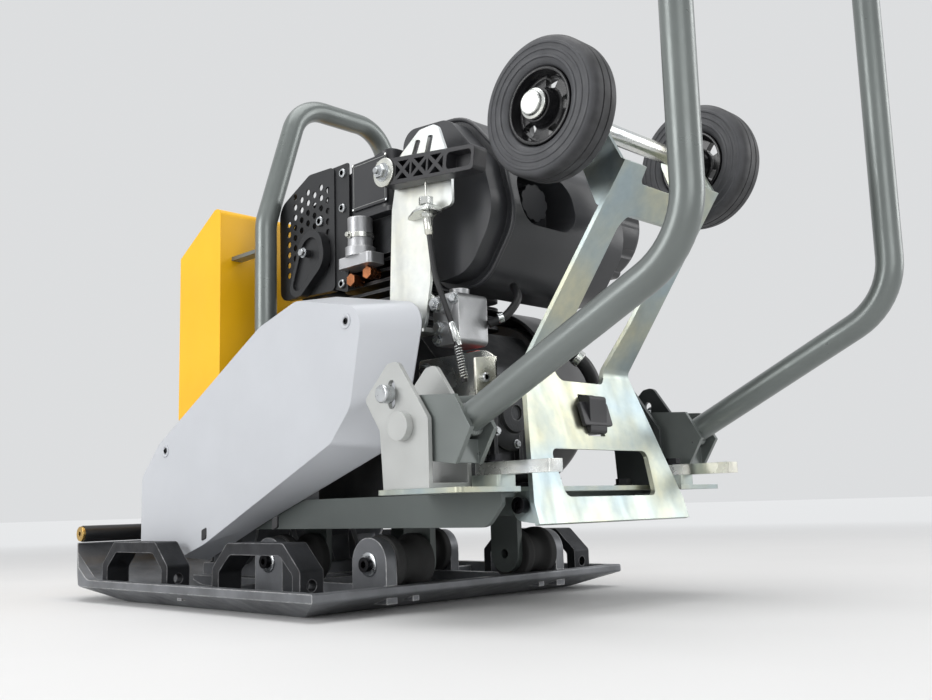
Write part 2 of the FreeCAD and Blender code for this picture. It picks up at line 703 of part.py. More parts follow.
def belt_drive():
    """The two pulleys and the V-belt that runs in their grooves."""
    pulley("exciter_pulley", (0, D.exciter_y, D.exciter_height), D.exciter_pulley_radius,
           D.pulley_inner - 8, D.exciter_shaft_end - 1, False)
    pulley("clutch_pulley", (0, D.crank_y, D.crank_height), D.clutch_pulley_radius,
           D.pulley_inner - 20, D.pulley_outer + 2, True)
    small = V(0, SIZES["exciter_y"], SIZES["exciter_height"])
    large = V(0, SIZES["crank_y"], SIZES["crank_height"])
    outer = belt_ring(small, large, SIZES["exciter_pulley_radius"], SIZES["clutch_pulley_radius"])
    height = SIZES["belt_height"]
    inner = belt_ring(small, large, SIZES["exciter_pulley_radius"] - height,
                      SIZES["clutch_pulley_radius"] - height)
    width = 2 * SIZES["belt_half_width"] - 3
    across = V(width, 0, 0)
    ring = Part.Face(outer).extrude(across).cut(Part.Face(inner).extrude(across))
    ring.translate(V(SIZES["belt_middle"] - width / 2, 0, 0))
    Formed("drive_belt", ring)


def belt_ring(first, second, first_radius, second_radius):
    """The closed line round two pulleys: two arcs and two common tangents."""
    across = second - first
    distance = across.Length
    along = V(across).normalize()
    up = V(1, 0, 0).cross(along)
    lean = math.asin((second_radius - first_radius) / distance)
    normal = along * -math.sin(lean) + up * math.cos(lean)
    mirror = along * -math.sin(lean) - up * math.cos(lean)
    far = along * second_radius
    near = along * -first_radius
    tops = [first + normal * first_radius, second + normal * second_radius]
    bottoms = [second + mirror * second_radius, first + mirror * first_radius]
    edges = [
        Part.LineSegment(tops[0], tops[1]).toShape(),
        Part.Arc(tops[1], second + far, bottoms[0]).toShape(),
        Part.LineSegment(bottoms[0], bottoms[1]).toShape(),
        Part.Arc(bottoms[1], first + near, tops[0]).toShape(),
    ]
    return Part.Wire(edges)


def shock_mounts():
    """Four rubber spools between the plate's lugs and the console's arms."""
    group = Group("shock_mounts")
    for sign in (1, -1):
        for centre in (D.mount_front, D.mount_rear):
            spool = Piece("shock_mount", (0, centre, D.lug_height),
                          UPRIGHT if sign > 0 else FreeCAD.Rotation(V(0, 0, 1), 180))
            PIECES.remove(spool)
            low = D.rubber_inner
            high = D.lug_inner
            flange = D.rubber_flange
            middle = (low + high) / 2
            bore = D.mount_bolt_radius + 1
            profile = Loop([
                (low, bore), (high, bore), (high, D.rubber_radius, 2),
                (high - flange - 6, D.rubber_radius, 4), (middle + 8, D.rubber_waist, 10),
                (middle - 8, D.rubber_waist, 10), (low + flange + 6, D.rubber_radius, 4),
                (low, D.rubber_radius, 2),
            ])
            spool.revolve("XZ", [profile], "H")
            group.items.append(spool.finish())


def base_bolts():
    """The bolts of the plate: mount bolts through the lugs and exciter foot bolts."""
    group = Group("base_bolts")
    foot_top = D.plate_floor + D.plate_seat + D.exciter_foot_height
    for sign in (1, -1):
        for centre in (D.mount_front, D.mount_rear):
            group.socket_bolt((sign * D.lug_outer, centre, D.lug_height), (sign, 0, 0),
                              D.mount_bolt_radius, D.lug_outer - D.lug_inner + 20)
        for across in (-1, 1):
            spot = (sign * D.foot_bolt_x, D.exciter_y + across * D.foot_bolt_y, foot_top)
            group.bolt(spot, (0, 0, 1), D.foot_bolt_radius, D.exciter_foot_height + 8)


def sprinkler():
    """The water bar along the front lip, with a brass plug in each end."""
    half = SIZES["sprinkler_half"]
    ends = [(-half, D.sprinkler_y, D.sprinkler_height), (half, D.sprinkler_y, D.sprinkler_height)]
    outer = SIZES["sprinkler_radius"]
    tube = bent_tube(ends, [], outer, D.sprinkler_wall)
    for step in range(-9, 10):
        drop = Part.makeCylinder(1.5, 30, V(step * half / 10, SIZES["sprinkler_y"], SIZES["sprinkler_height"]),
                                 V(0, -0.5, -1))
        tube = tube.cut(drop)
    feet = []
    for sign in (-1, 1):
        seat = V(sign * 120 - 8, SIZES["plate_front"] + 2.5, SIZES["plate_lip_height"] + 0.05)
        feet.append(Part.makeBox(16, 17, 10, seat).cut(sweep(bent_path(ends, []), outer - 1)))
    Formed("sprinkler_bar", tube.fuse(feet).removeSplitter())
    group = Group("sprinkler_plugs")
    for sign in (1, -1):
        plug = Piece("sprinkler_plug", (sign * half, D.sprinkler_y, D.sprinkler_height),
                     UPRIGHT if sign > 0 else FreeCAD.Rotation(V(0, 0, 1), 180))
        PIECES.remove(plug)
        inner = D.sprinkler_radius - D.sprinkler_wall
        plug.revolve("XZ", [Loop([(-14, 3), (4, 3), (4, inner + 1, 1), (0.1, inner + 1), (0.1, inner - 0.1),
                                  (-14, inner - 0.1)])], "H")
        group.items.append(plug.finish())


def console_frame():
    """The bent sheet tray that carries the engine, with arms down to the mounts."""
    piece = Piece("console_frame")
    half = D.console_half_width
    sheet = D.console_sheet
    piece.pad("XY", [box_loop(-half, D.console_front, half, D.console_tray_rear, 4)],
              D.console_top - sheet, D.console_top)
    side = Loop([
        (D.console_front, D.console_bottom + 8, 6), (D.console_front + 20, D.console_bottom, 6),
        (D.console_rear - 26, D.console_bottom, 20), (D.console_rear - 6, D.console_top - 12, 6),
        (D.console_rear - 6, D.console_top), (D.console_front, D.console_top),
    ])
    left = piece.pad("YZ", [side], half - sheet, half)
    piece.mirror([left], "YZ")
    lip = piece.pad("XY", [box_loop(half - sheet - 12, D.console_tray_rear - 1, half, D.console_rear - 6)],
                    D.console_top - sheet, D.console_top)
    piece.mirror([lip], "YZ")
    piece.pad("XZ", [box_loop(-half, D.console_bottom, half, D.console_top)], D.console_front,
              D.console_front + sheet)
    for centre in (D.mount_front, D.mount_rear):
        radius = D.mount_arm_radius
        arm = Loop([
            (centre - radius, D.console_top - sheet), (centre + radius, D.console_top - sheet),
            (centre + radius, D.lug_height - radius, radius - 1),
            (centre - radius, D.lug_height - radius, radius - 1),
        ])
        hole = Circle(centre, D.lug_height, D.mount_bolt_radius + 0.5)
        low = D.mount_arm_inner
        hanger = piece.pad("YZ", [arm, hole], low, low + D.mount_arm_thickness)
        piece.mirror([hanger], "YZ")
    ear_inner = D.carriage_ear + 29
    ear = Loop([
        (D.console_tray_rear - 30, D.console_top - sheet + 2), (D.console_tray_rear - 30, D.pivot_height - 9.5, 6),
        (D.pivot_y + 9.5, D.pivot_height - 9.5, 9.4), (D.pivot_y + 9.5, D.pivot_height + 9.5, 9.4),
        (D.console_tray_rear, D.pivot_height + 9.5),
    ])
    tab = piece.pad("YZ", [ear, Circle(D.pivot_y, D.pivot_height, D.pivot_bolt + 0.05)], ear_inner,
                    ear_inner + sheet)
    piece.mirror([tab], "YZ")
    for centre in (120, 250):
        piece.pocket("XY", [box_loop(-45, centre - 40, 45, centre + 40, 12)], D.console_top - sheet - 1,
                     D.console_top + 1)


def crankcase():
    """The aluminium crankcase on two feet, with a bearing boss and side ribs."""
    piece = Piece("crankcase")
    low = D.console_top
    body = Loop([
        (D.crankcase_front, low + D.engine_foot, 10), (D.crankcase_rear, low + D.engine_foot, 10),
        (D.crankcase_rear, D.crankcase_top - 50, 24), (D.crankcase_rear - 46, D.crankcase_top, 16),
        (D.crankcase_front + 18, D.crankcase_top, 16), (D.crankcase_front, D.crankcase_top - 60, 20),
    ])
    piece.pad("YZ", [body], D.crankcase_inner, D.crankcase_outer)
    for edge in (D.crankcase_inner, D.crankcase_outer - 34):
        piece.pad("XY", [box_loop(edge, D.crankcase_front - 16, edge + 34, D.crankcase_rear + 16, 6)],
                  low, low + D.engine_foot + 4)
    spots = [Circle(x, y, D.engine_bolt_radius + D.gap) for x in (D.engine_bolt_left, D.engine_bolt_right)
             for y in (D.crankcase_front - 9, D.crankcase_rear + 9)]
    piece.pocket("XY", spots, low - 1, low + D.engine_foot + 5)
    boss = Circle(D.crank_y, D.crank_height, 48)
    piece.pad("YZ", [boss], D.crankcase_outer - 1, D.crankcase_outer + 12)
    piece.pocket("YZ", [Circle(D.crank_y, D.crank_height, 20 + D.shaft_fit)],
                 D.crankcase_inner - 1, D.crankcase_outer + 13)
    rib = piece.pad("XY", [box_loop(D.crankcase_inner + 20, D.crankcase_rear - 2, D.crankcase_inner + 26,
                                    D.crankcase_rear + 8)], low + 30, D.crankcase_top - 66)
    piece.row([rib], "X", 126, 4)
    piece.pad("XZ", [box_loop(D.crankcase_inner + 26, low + 34, D.crankcase_outer - 26,
                              D.crankcase_top - 62, 14)], D.crankcase_front - 7, D.crankcase_front + 1)


def cylinder_head():
    """The finned cylinder and its head, turned and trimmed square."""
    piece = Piece("cylinder_head", (0, D.cylinder_y, 0))
    bottom = D.crankcase_top + D.gap
    piece.pad("XY", [Circle(0, 0, D.cylinder_radius)], bottom, D.head_bottom)
    fin = piece.pad("XY", [box_loop(-D.fin_radius, -D.fin_radius + 16, D.fin_radius, D.fin_radius - 26, 22)],
                    bottom + 8, bottom + 8 + D.fin_thickness)
    piece.row([fin], "Z", D.fin_pitch * 6, 7)
    piece.pad("XY", [box_loop(-D.fin_radius - 2, -D.fin_radius + 20, D.fin_radius + 2, D.fin_radius - 26, 12)],
              D.head_bottom - 1, D.head_top)


def rocker_cover():
    """The dark cover over the valve gear: a shell with a flange and rounded edges."""
    piece = Piece("rocker_cover", (0, D.cylinder_y, 0))
    low = D.head_top + D.gap
    piece.pad("XY", [box_loop(-86, -44, 100, 52, 8)], low, low + 6)
    piece.pad("XY", [box_loop(-80, -40, 98, 48, 14)], low + 5, D.rocker_top + 38)
    slope = Loop([(-60, D.rocker_top + 39), (49, D.rocker_top + 39), (-60, D.rocker_top + 14)])
    piece.pocket("YZ", [slope], -90, 110)


def fan_housing():
    """The fan cover on the flywheel side, with an air grille and the starter drum."""
    piece = Piece("fan_housing", (0, D.crank_y, D.crank_height))
    inner = D.crankcase_inner - D.gap
    outer = D.housing_outer
    radius = D.housing_radius
    shell = Loop([
        (inner, radius - 4), (inner, radius, 2), (outer + 26, radius, 18), (outer, radius - 34, 16),
        (outer, 26), (outer + 4, 26), (outer + 4, radius - 36, 12), (outer + 28, radius - 4, 14),
    ])
    piece.revolve("XZ", [shell], "H")
    slot = piece.pocket("YZ", [box_loop(34, -4, 88, 4, 3.9)], outer - 1, outer + 5)
    piece.pattern([slot], "X", 16)
    hub = Loop([(outer - 12, 0), (outer + 4.5, 0), (outer + 4.5, 52), (outer, 52), (outer - 12, 40, 4)])
    piece.revolve("XZ", [hub], "H")


def crank_train():
    """The crankshaft and the flywheel with its fan blades."""
    shaft = Piece("crankshaft", (0, D.crank_y, D.crank_height))
    profile = Loop([
        (D.housing_outer + 40, 0), (D.pulley_outer + 6, 0), (D.pulley_outer + 6, 12),
        (D.crankcase_outer + 16, 12), (D.crankcase_outer + 16, 20), (D.crankcase_inner - 8, 20),
        (D.crankcase_inner - 8, 15), (D.housing_outer + 40, 15),
    ])
    shaft.revolve("XZ", [profile], "H")
    wheel = Piece("flywheel", (0, D.crank_y, D.crank_height))
    low = D.housing_outer + 46
    high = D.crankcase_inner - 12
    disc = Loop([
        (low, 15 + D.shaft_fit), (high, 15 + D.shaft_fit), (high, 40), (high - 10, 52),
        (high - 10, D.flywheel_radius - 18), (high, D.flywheel_radius - 16), (high, D.flywheel_radius),
        (low + 12, D.flywheel_radius), (low + 12, 40), (low, 34),
    ])
    wheel.revolve("XZ", [disc], "H")
    blade = wheel.pad("XZ", [box_loop(low - 8, 60, low + 13, D.flywheel_radius - 4)], -3, 3)
    wheel.pattern([blade], "X", 12)


def silencer():
    """The silencer, its perforated guard and the teardrop plate of the outlet."""
    piece = Piece("muffler")
    shell = Loop([
        (D.muffler_front, D.muffler_bottom + 20, 18), (D.muffler_front + 30, D.muffler_bottom, 18),
        (D.muffler_rear, D.muffler_bottom, 14), (D.muffler_rear, D.muffler_top - 12, 20),
        (D.muffler_front + 8, D.muffler_top - 34, 24),
    ])
    piece.pad("YZ", [shell], D.muffler_inner, D.muffler_outer)
    seam = Loop([(D.muffler_front - 2, D.muffler_bottom + 40), (D.muffler_rear + 2, D.muffler_bottom + 40),
                 (D.muffler_rear + 2, D.muffler_bottom + 44), (D.muffler_front - 2, D.muffler_bottom + 44)])
    piece.pad("YZ", [seam], D.muffler_inner + 20, D.muffler_outer - 20)
    guard = Piece("muffler_guard")
    outline = Loop([
        (16, 376, 14), (128, 372, 8), (128, 528, 8), (78, 530, 14), (14, 500, 24),
    ])
    sheet = D.guard_sheet
    guard.pad("YZ", [outline], D.guard_x - 8, D.guard_x)
    inside = Loop([
        (16 + sheet, 376 + sheet, 12), (129, 372 + sheet), (129, 528 - sheet), (78, 530 - sheet, 12),
        (14 + sheet, 500 - sheet, 22),
    ])
    guard.pocket("YZ", [inside], D.guard_x - 9, D.guard_x - sheet)
    for column in range(7):
        rows = 9 if column % 2 else 8
        base = 400 if column % 2 else 407
        holes = [Circle(34 + column * D.guard_pitch, base + row * D.guard_pitch, D.guard_hole)
                 for row in range(rows)
                 if not (column > 1 and 395 < base + row * 13.5 < 455 and 48 < 34 + column * 13.5 < 112)]
        if column == 0:
            holes = holes[:6]
        guard.pocket("YZ", holes, D.guard_x - sheet - 1, D.guard_x + 1)
    outlet = Piece("exhaust_outlet")
    drop = Loop([(48, 374, 12), (74, 372, 12), (124, 408, 26), (112, 458, 24), (74, 446, 26)])
    outlet.pad("YZ", [drop], D.guard_x + 0.2, D.guard_x + 12)
    lip = Loop([(55, 381, 8), (73, 380, 8), (115, 412, 18), (107, 449, 18), (79, 439, 20)])
    outlet.pocket("YZ", [lip], D.guard_x + 8, D.guard_x + 13)
    outlet.pad("YZ", [Circle(88, 424, 5)], D.guard_x + 7, D.guard_x + 17)


def fuel_tank():
    """The moulded tank across the back of the engine, with a seam and a filler recess."""
    piece = Piece("fuel_tank")
    shape = Loop([
        (D.tank_front, D.tank_bottom + 60, 30), (D.tank_front + 44, D.tank_bottom, 40),
        (D.tank_rear - 46, D.tank_bottom + 4, 44), (D.tank_rear, D.tank_bottom + 66, 60),
        (D.tank_rear - 16, D.tank_top - 66, 40), (D.tank_rear - 70, D.tank_top - 6, 30),
        (D.tank_front, D.tank_top, 20),
    ])
    piece.pad("YZ", [shape], D.tank_inner, D.tank_outer - 26)
    end = Loop([
        (D.tank_front + 6, D.tank_bottom + 64, 30), (D.tank_front + 48, D.tank_bottom + 8, 40),
        (D.tank_rear - 50, D.tank_bottom + 12, 44), (D.tank_rear - 8, D.tank_bottom + 70, 60),
        (D.tank_rear - 24, D.tank_top - 72, 40), (D.tank_rear - 74, D.tank_top - 14, 30),
        (D.tank_front + 6, D.tank_top - 8, 20),
    ])
    piece.pad("YZ", [end], D.tank_outer - 27, D.tank_outer)
    across = D.fuel_neck_x
    height = D.fuel_neck_z
    recess = box_loop(across - 48, height - 34, across + 48, height + 30, 26)
    piece.pocket("XZ", [recess], D.tank_rear - 50, D.tank_rear + 5)
    piece.pad("XZ", [Circle(across, height, 17)], D.tank_rear - 60, D.tank_rear - 40)
    cap = Piece("fuel_cap", (across, D.tank_rear - 40 + D.gap, height))
    cap.pad("XZ", [Circle(0, 0, 22)], 0, 14)
    flute = cap.pocket("XZ", [Circle(26, 0, 6)], -1, 15)
    cap.pattern([flute], "Y", 9)


def air_filter():
    """The scalloped air filter cover on the flywheel side."""
    piece = Piece("air_filter_housing", (0, 312, 452))
    inner = D.filter_inner
    outer = D.filter_outer
    piece.revolve("XZ", [Loop([(inner, 0), (outer, 0), (outer, 62), (inner + 18, 62, 12), (inner, 44, 8)])], "H")
    scallop = piece.pocket("YZ", [Circle(68, 0, 9)], inner - 1, outer + 1)
    piece.pattern([scallop], "X", 10)
    piece.pad("YZ", [box_loop(-46, -62, 30, -20, 8)], inner + 20, outer)


def injection_pump():
    """The pump block on the belt side of the crankcase, with its pipe unions."""
    piece = Piece("injection_pump")
    face = D.pump_face
    foot = D.pump_foot
    piece.pad("YZ", [box_loop(301, foot, 340, foot + 56, 6)], face - 44, face)
    piece.pad("YZ", [box_loop(292, foot + 10, 304, foot + 46)], face - 38, face - 14)
    piece.pad("YZ", [Circle(322, foot + 42, 9)], face - 1, face + 12)
    piece.pad("YZ", [Circle(318, foot + 18, 7)], face - 1, face + 8)
    piece.pad("XY", [Circle(face - 22, 320, 11)], foot + 55, foot + 63)


def breather():
    """The aluminium neck beside the cylinder, on its flange, with copper plugs below."""
    piece = Piece("oil_filler_neck")
    piece.pad("XY", [Circle(104, 176, 15)], 414, 451)
    piece.pad("XY", [Circle(104, 176, 18)], 404, 415)
    piece.pad("XY", [box_loop(90, 146, 116, 206, 6)], 392, 405)
    plugs = Group("copper_plugs")
    for y, z in ((158, 380), (188, 384)):
        cap = plugs.hexagon((96, y, z), (1, 0, 0), 8, 9)
        collar = plugs.cylinder((87, y, z), (1, 0, 0), 6, 10)
        plugs.items.append(plugs.fuse([cap, collar]))


def control_bracket():
    """The zinc-plated sheet that carries the throttle lever and the cable end."""
    piece = Piece("control_bracket")
    low = D.bracket_x
    high = low + D.bracket_sheet
    outline = Loop([
        (246, 300, 6), (304, 300, 6), (314, 350, 10), (316, 418, 4), (326, 424, 3), (350, 426, 6),
        (350, 470, 10), (338, 500, 12), (330, 522, 12), (302, 522, 14), (268, 500, 14), (254, 440, 20),
    ])
    slots = [
        Loop([(286, 492, 2), (295, 492, 2), (304, 510, 2), (296, 512, 2)]),
        Loop([(309, 492, 2), (318, 492, 2), (324, 510, 2), (316, 512, 2)]),
    ]
    piece.pad("YZ", [outline] + slots, low, high)
    piece.pocket("YZ", [Circle(D.throttle_y, D.throttle_height, 5.2)], low - 1, high + 1)
    piece.pad("XY", [box_loop(96, 250, high, 300, 3)], 296, 301)
    piece.pad("XY", [box_loop(high - 1, 314, high + 20, 334, 3)], 423, 427)


def throttle():
    """The moulded throttle lever: a box with crossed ribs and an open grip end."""
    lever = Piece("throttle_lever", (0, D.throttle_y, D.throttle_height), FreeCAD.Rotation(V(1, 0, 0), -7))
    low = D.throttle_inner
    high = low + D.throttle_width
    half = D.throttle_hub
    length = D.throttle_length
    lever.pad("YZ", [Loop([(-half, -half, 14), (half, -half), (length, -half + 2, 5), (length, half - 2, 5),
                           (half, half), (-half, half, 14)])], low, high)
    lever.pocket("YZ", [Circle(0, 0, 5)], low - 1, high + 1)
    cell = 26
    for i in range(3):
        start = half + 3 + i * cell
        top = Loop([(start + 3, half - 5), (start + cell - 6, half - 5), (start + cell / 2 - 1.5, 3)])
        bottom = Loop([(start + 3, -half + 5), (start + cell / 2 - 1.5, -3), (start + cell - 6, -half + 5)])
        first = Loop([(start, half - 8), (start + cell / 2 - 5, 0), (start, -half + 8)])
        last = Loop([(start + cell - 3, half - 8), (start + cell - 3, -half + 8), (start + cell / 2 + 2, 0)])
        for web in (top, bottom, first, last):
            lever.pocket("YZ", [web], low + 4, high + 1)
    grip = box_loop(half + 3 + 3 * cell + 2, -half + 6, length - 4, half - 6, 5)
    lever.pocket("YZ", [grip], low + 4, high + 1)


def throttle_cable():
    """The Bowden cable from the lever down to the governor arm, with its fittings."""
    top = (138, 327, 422.6)
    middle = (134, 333, 352)
    low = (118, 345, 290)
    end = (112, 352, 236)
    path = bent_path([top, middle, low, end], [120, 140])
    Formed("throttle_cable", sweep(path, SIZES["cable_radius"]))
    fittings = Group("cable_fittings")
    clamp = fittings.hexagon((138, 327, 427.4), (0, 0, 1), 8, 8)
    fittings.items.append(clamp)


def belt_guard():
    """The moulded belt guard: a drafted shell over both pulleys, open towards the machine."""
    piece = Piece("belt_guard")
    face = [
        (-176, 62, 6), (-176, 158, 16), (-132, 200, 20), (96, 322, 34), (168, 342, 30), (284, 318, 26),
        (262, 214, 30), (228, 178, 20), (-20, 72, 8), (-72, 56, 10),
    ]
    back = [
        (-181, 56, 6), (-181, 161, 16), (-136, 205, 20), (92, 328, 34), (186, 349, 30), (338, 318, 26),
        (316, 236, 30), (280, 172, 20), (50, 96, 8), (-76, 50, 10),
    ]
    low = D.guard_back
    high = D.guard_face
    piece.loft("YZ", back, face, low, high)
    wall = D.guard_wall
    piece.hollow_loft("YZ", inset(back, wall), inset(face, wall), low, high - wall)
    for y, z in ((-150, 120), (240, 290)):
        piece.pad("YZ", [Circle(y, z, 8)], low + 6, high - 1)


def inset(corners, distance):
    """An outline moved inwards, side by side, by a wall thickness."""
    count = len(corners)
    points = [V(corner[0], corner[1], 0) for corner in corners]
    area = sum(points[i - 1].x * points[i].y - points[i].x * points[i - 1].y for i in range(count))
    turn = 1 if area > 0 else -1
    moved = []
    for i in range(count):
        before = (points[i] - points[i - 1]).normalize()
        after = (points[(i + 1) % count] - points[i]).normalize()
        inward = V(-before.y - after.y, before.x + after.x, 0) * turn
        inward.normalize()
        scale = 1 / max(0.2, inward.dot(V(-before.y, before.x, 0) * turn))
        radius = max(2, corners[i][2] - float(distance))
        moved.append((corners[i][0] + inward.x * scale * distance,
                      corners[i][1] + inward.y * scale * distance, radius))
    return moved


def water_tank():
    """The moulded water tank in front of the engine, hollow, with a filler neck and an outlet."""
    piece = Piece("water_tank")
    half = D.water_half_width
    front = D.water_front
    rear = D.water_rear
    low = D.water_bottom
    high = D.water_top
    outer = Loop([
        (front + 46, low, 14), (rear, low, 12), (rear, high, 10), (rear - 14, high, 10),
        (rear - 14 - D.water_slope_run, high - D.water_slope_rise, 16), (front, high - 104, 24), (front + 6, low + 38, 20),
    ])
    piece.pad("YZ", [outer], -half, half)
    wall = D.water_wall
    inner = Loop([
        (front + 48, low + wall, 10), (rear - wall, low + wall, 8), (rear - wall, high - wall, 6),
        (rear - 14, high - wall, 6),
        (rear - 12 - D.water_slope_run, high - 4 - D.water_slope_rise, 12), (front + wall, high - 105, 20),
        (front + 6 + wall, low + 39, 16),
    ])
    piece.pocket("YZ", [inner], D.water_facet + wall - half, half - wall - D.water_facet)
    behind = front + 48
    slope = SIZES["water_slope_rise"] / (SIZES["water_slope_run"] - 2)
    start = SIZES["water_rear"] - 14 - (SIZES["water_front"] + 48)
    deep = Loop([
        (behind, low + wall, 6), (rear - wall, low + wall, 8), (rear - wall, high - wall, 6),
        (rear - 14, high - wall, 6), (behind, high - wall - slope * start, 4),
    ])
    piece.pocket("YZ", [deep], wall - half, half - wall)
    facet = Loop([(half - D.water_facet, front - 1), (half + 1, front - 1), (half + 1, front + 40)])
    trimmed = piece.pocket("XY", [facet], low - 1, high + 1)
    piece.mirror([trimmed], "YZ")


def lifting_frame():
    """The bent tube arch over the engine, with a foot plate under each leg."""
    y = SIZES["lift_y"]
    leg = SIZES["lift_leg"]
    foot = SIZES["console_top"] + 6
    knee = SIZES["lift_knee"]
    half = SIZES["lift_top_half"]
    top = SIZES["lift_top"]
    bend = SIZES["lift_bend"]
    points = [(leg, y, foot), (leg, y, knee), (half, y, top), (-half, y, top), (-leg, y, knee), (-leg, y, foot)]
    tube = bent_tube(points, [bend, bend, bend, bend], SIZES["lift_radius"], SIZES["lift_wall"])
    feet = [Part.makeBox(40, 60, 6, V(sign * (leg - 4) - 20, y - 30, foot - 6)) for sign in (-1, 1)]
    reach = y - SIZES["water_rear"] - 10
    lugs = [Part.makeBox(16, reach, 5, V(sign * leg - 8, SIZES["water_rear"] + SIZES["gap"], height))
            for sign in (-1, 1) for height in (262, 440)]
    Formed("lifting_frame", tube.fuse(feet + lugs).removeSplitter())


def rear_cross_plate():
    """The zinc-plated plate across the console that carries the handle brackets and stops."""
    piece = Piece("rear_cross_plate")
    low = D.console_top
    high = low + D.cheek_sheet
    piece.pad("XY", [box_loop(-D.cheek_outer - 2, 332, D.cheek_outer + 2, 446, 6)], low, high)
    notch = piece.pocket("XY", [box_loop(104, 416, 136, 450, 3)], low - 1, high + 1)
    piece.mirror([notch], "YZ")
    piece.pocket("XY", [box_loop(-104, 436, 104, 450)], low - 1, high + 1)
    for sign in (1, -1):
        foot = box_loop(sign * D.stop_bar_x - 12, 407, sign * D.stop_bar_x + 12, 445, 3)
        piece.pad("XY", [foot], high - 1, high + 11)
    spots = [Circle(sign * x, y, D.console_bolt_radius + D.gap) for sign in (1, -1)
             for x, y in ((D.stop_bar_x, D.stop_bolt_y), (D.bracket_bolt_x, D.bracket_bolt_y),
                          (D.cross_bolt_x, D.cross_bolt_y))]
    piece.pocket("XY", spots, low - 1, high + 12)


def stop_bars():
    """Two machined stop bars that stand out behind the machine beside the carriage."""
    group = Group("stop_bars")
    for sign in (1, -1):
        bar = Piece("stop_bar")
        PIECES.remove(bar)
        low = D.console_top + D.cheek_sheet + 11
        edges = box_loop(sign * D.stop_bar_x - 9, 410, sign * D.stop_bar_x + 9, 505, 2)
        hole = Circle(sign * D.stop_bar_x, D.stop_bolt_y, D.console_bolt_radius + D.gap)
        bar.pad("XY", [edges, hole], low, low + 12)
        group.items.append(bar.finish())


def handle_bracket(side_name, sign):
    """One folded handle bracket: two cheeks and a base, with a latch slot at the top."""
    piece = Piece("handle_bracket_" + side_name)
    base = D.cheek_base
    y = D.hinge_y
    z = D.hinge_height
    cheek = Loop([
        (y - 30, base), (y + 34, base), (y + 34, z + 6, 8), (y - 8, z + 64, 10), (y - 22, z + 62, 8),
        (y - 56, z + 30, 6), (y - 34, z - 2, 12),
    ])
    bore = Circle(y, z, D.hinge_bolt + D.hinge_fit)
    slot = Loop([(y - 21, z + 18, 4.9), (y - 11, z + 18, 4.9), (y - 11, z + 46, 4.9), (y - 21, z + 46, 4.9)])
    sheet = D.cheek_sheet
    spans = ((D.cheek_outer - sheet, D.cheek_outer), (D.cheek_inner, D.cheek_inner + sheet))
    for low, high in spans:
        if sign < 0:
            low, high = -high, -low
        loops = [cheek, bore, slot] if abs(float(high)) + abs(float(low)) > 400 else [cheek, bore]
        piece.pad("YZ", loops, low, high)
    low, high = (D.cheek_inner, D.cheek_outer) if sign > 0 else (-D.cheek_outer, -D.cheek_inner)
    hole = Circle(sign * D.bracket_bolt_x, D.bracket_bolt_y, D.console_bolt_radius + D.gap)
    piece.pad("XY", [box_loop(low, y - 30, high, y + 34), hole], base, base + sheet)


def handle():
    """The handle: one bent tube with a welded yoke on each foot."""
    half = SIZES["handle_half_width"]
    foot = (SIZES["handle_foot_y"] - 8, SIZES["handle_foot_height"] - 4)
    knee = (SIZES["handle_knee_y"], SIZES["handle_knee_height"])
    top = SIZES["handle_top"]
    points = [
        (half, foot[0], foot[1]), (half, knee[0], knee[1]), (half, knee[0], top),
        (-half, knee[0], top), (-half, knee[0], knee[1]), (-half, foot[0], foot[1]),
    ]
    bends = [SIZES["handle_knee_bend"], SIZES["handle_corner_bend"]]
    tube = bent_tube(points, bends + bends[::-1], SIZES["handle_radius"], SIZES["handle_wall"])
    yokes = []
    for sign in (1, -1):
        yokes += yoke_cheeks(sign)
    Formed("handle", tube.fuse(yokes).removeSplitter())
    group = Group("handle_bushes")
    for sign in (1, -1):
        bush = Piece("handle_bush", (sign * half, D.hinge_y, D.hinge_height))
        PIECES.remove(bush)
        reach = (D.yoke_outer - D.yoke_inner) / 2 - D.yoke_sheet - D.gap
        bore = D.hinge_bolt + D.hinge_fit
        bush.revolve("XZ", [Loop([(-reach, bore), (reach, bore), (reach, D.bush_radius - D.gap, 3),
                                  (-reach, D.bush_radius - D.gap, 3)])], "H")
        group.items.append(bush.finish())


def yoke_cheeks(sign):
    """The two cheeks and the rear web of one yoke, as plain solids in place."""
    y = SIZES["hinge_y"]
    z = SIZES["hinge_height"]
    radius = SIZES["yoke_radius"]
    sheet = SIZES["yoke_sheet"]
    outline = [
        V(0, y, z - radius), V(0, y + 30, z - 34), V(0, y + 62, z - 38), V(0, y + 82, z - 6),
        V(0, y + 62, z + 26), V(0, y, z + radius),
    ]
    edges = [Part.LineSegment(outline[i], outline[i + 1]).toShape() for i in range(5)]
    edges.append(Part.Arc(outline[5], V(0, y - radius, z), outline[0]).toShape())
    face = Part.Face(Part.Wire(edges))
    solids = []
    for low in (SIZES["yoke_inner"], SIZES["yoke_outer"] - sheet):
        start = low if sign > 0 else -low - sheet
        cheek = face.extrude(V(sheet, 0, 0))
        cheek.translate(V(start, 0, 0))
        bore = SIZES["hinge_bolt"] + SIZES["hinge_fit"]
        solids.append(cheek.cut(Part.makeCylinder(bore, sheet + 2, V(start - 1, y, z), V(1, 0, 0))))
    start = SIZES["yoke_inner"] if sign > 0 else -SIZES["yoke_outer"]
    width = SIZES["yoke_outer"] - SIZES["yoke_inner"]
    solids.append(Part.makeBox(width, sheet, 22, V(start, y + 56, z - 37)))
    return solids


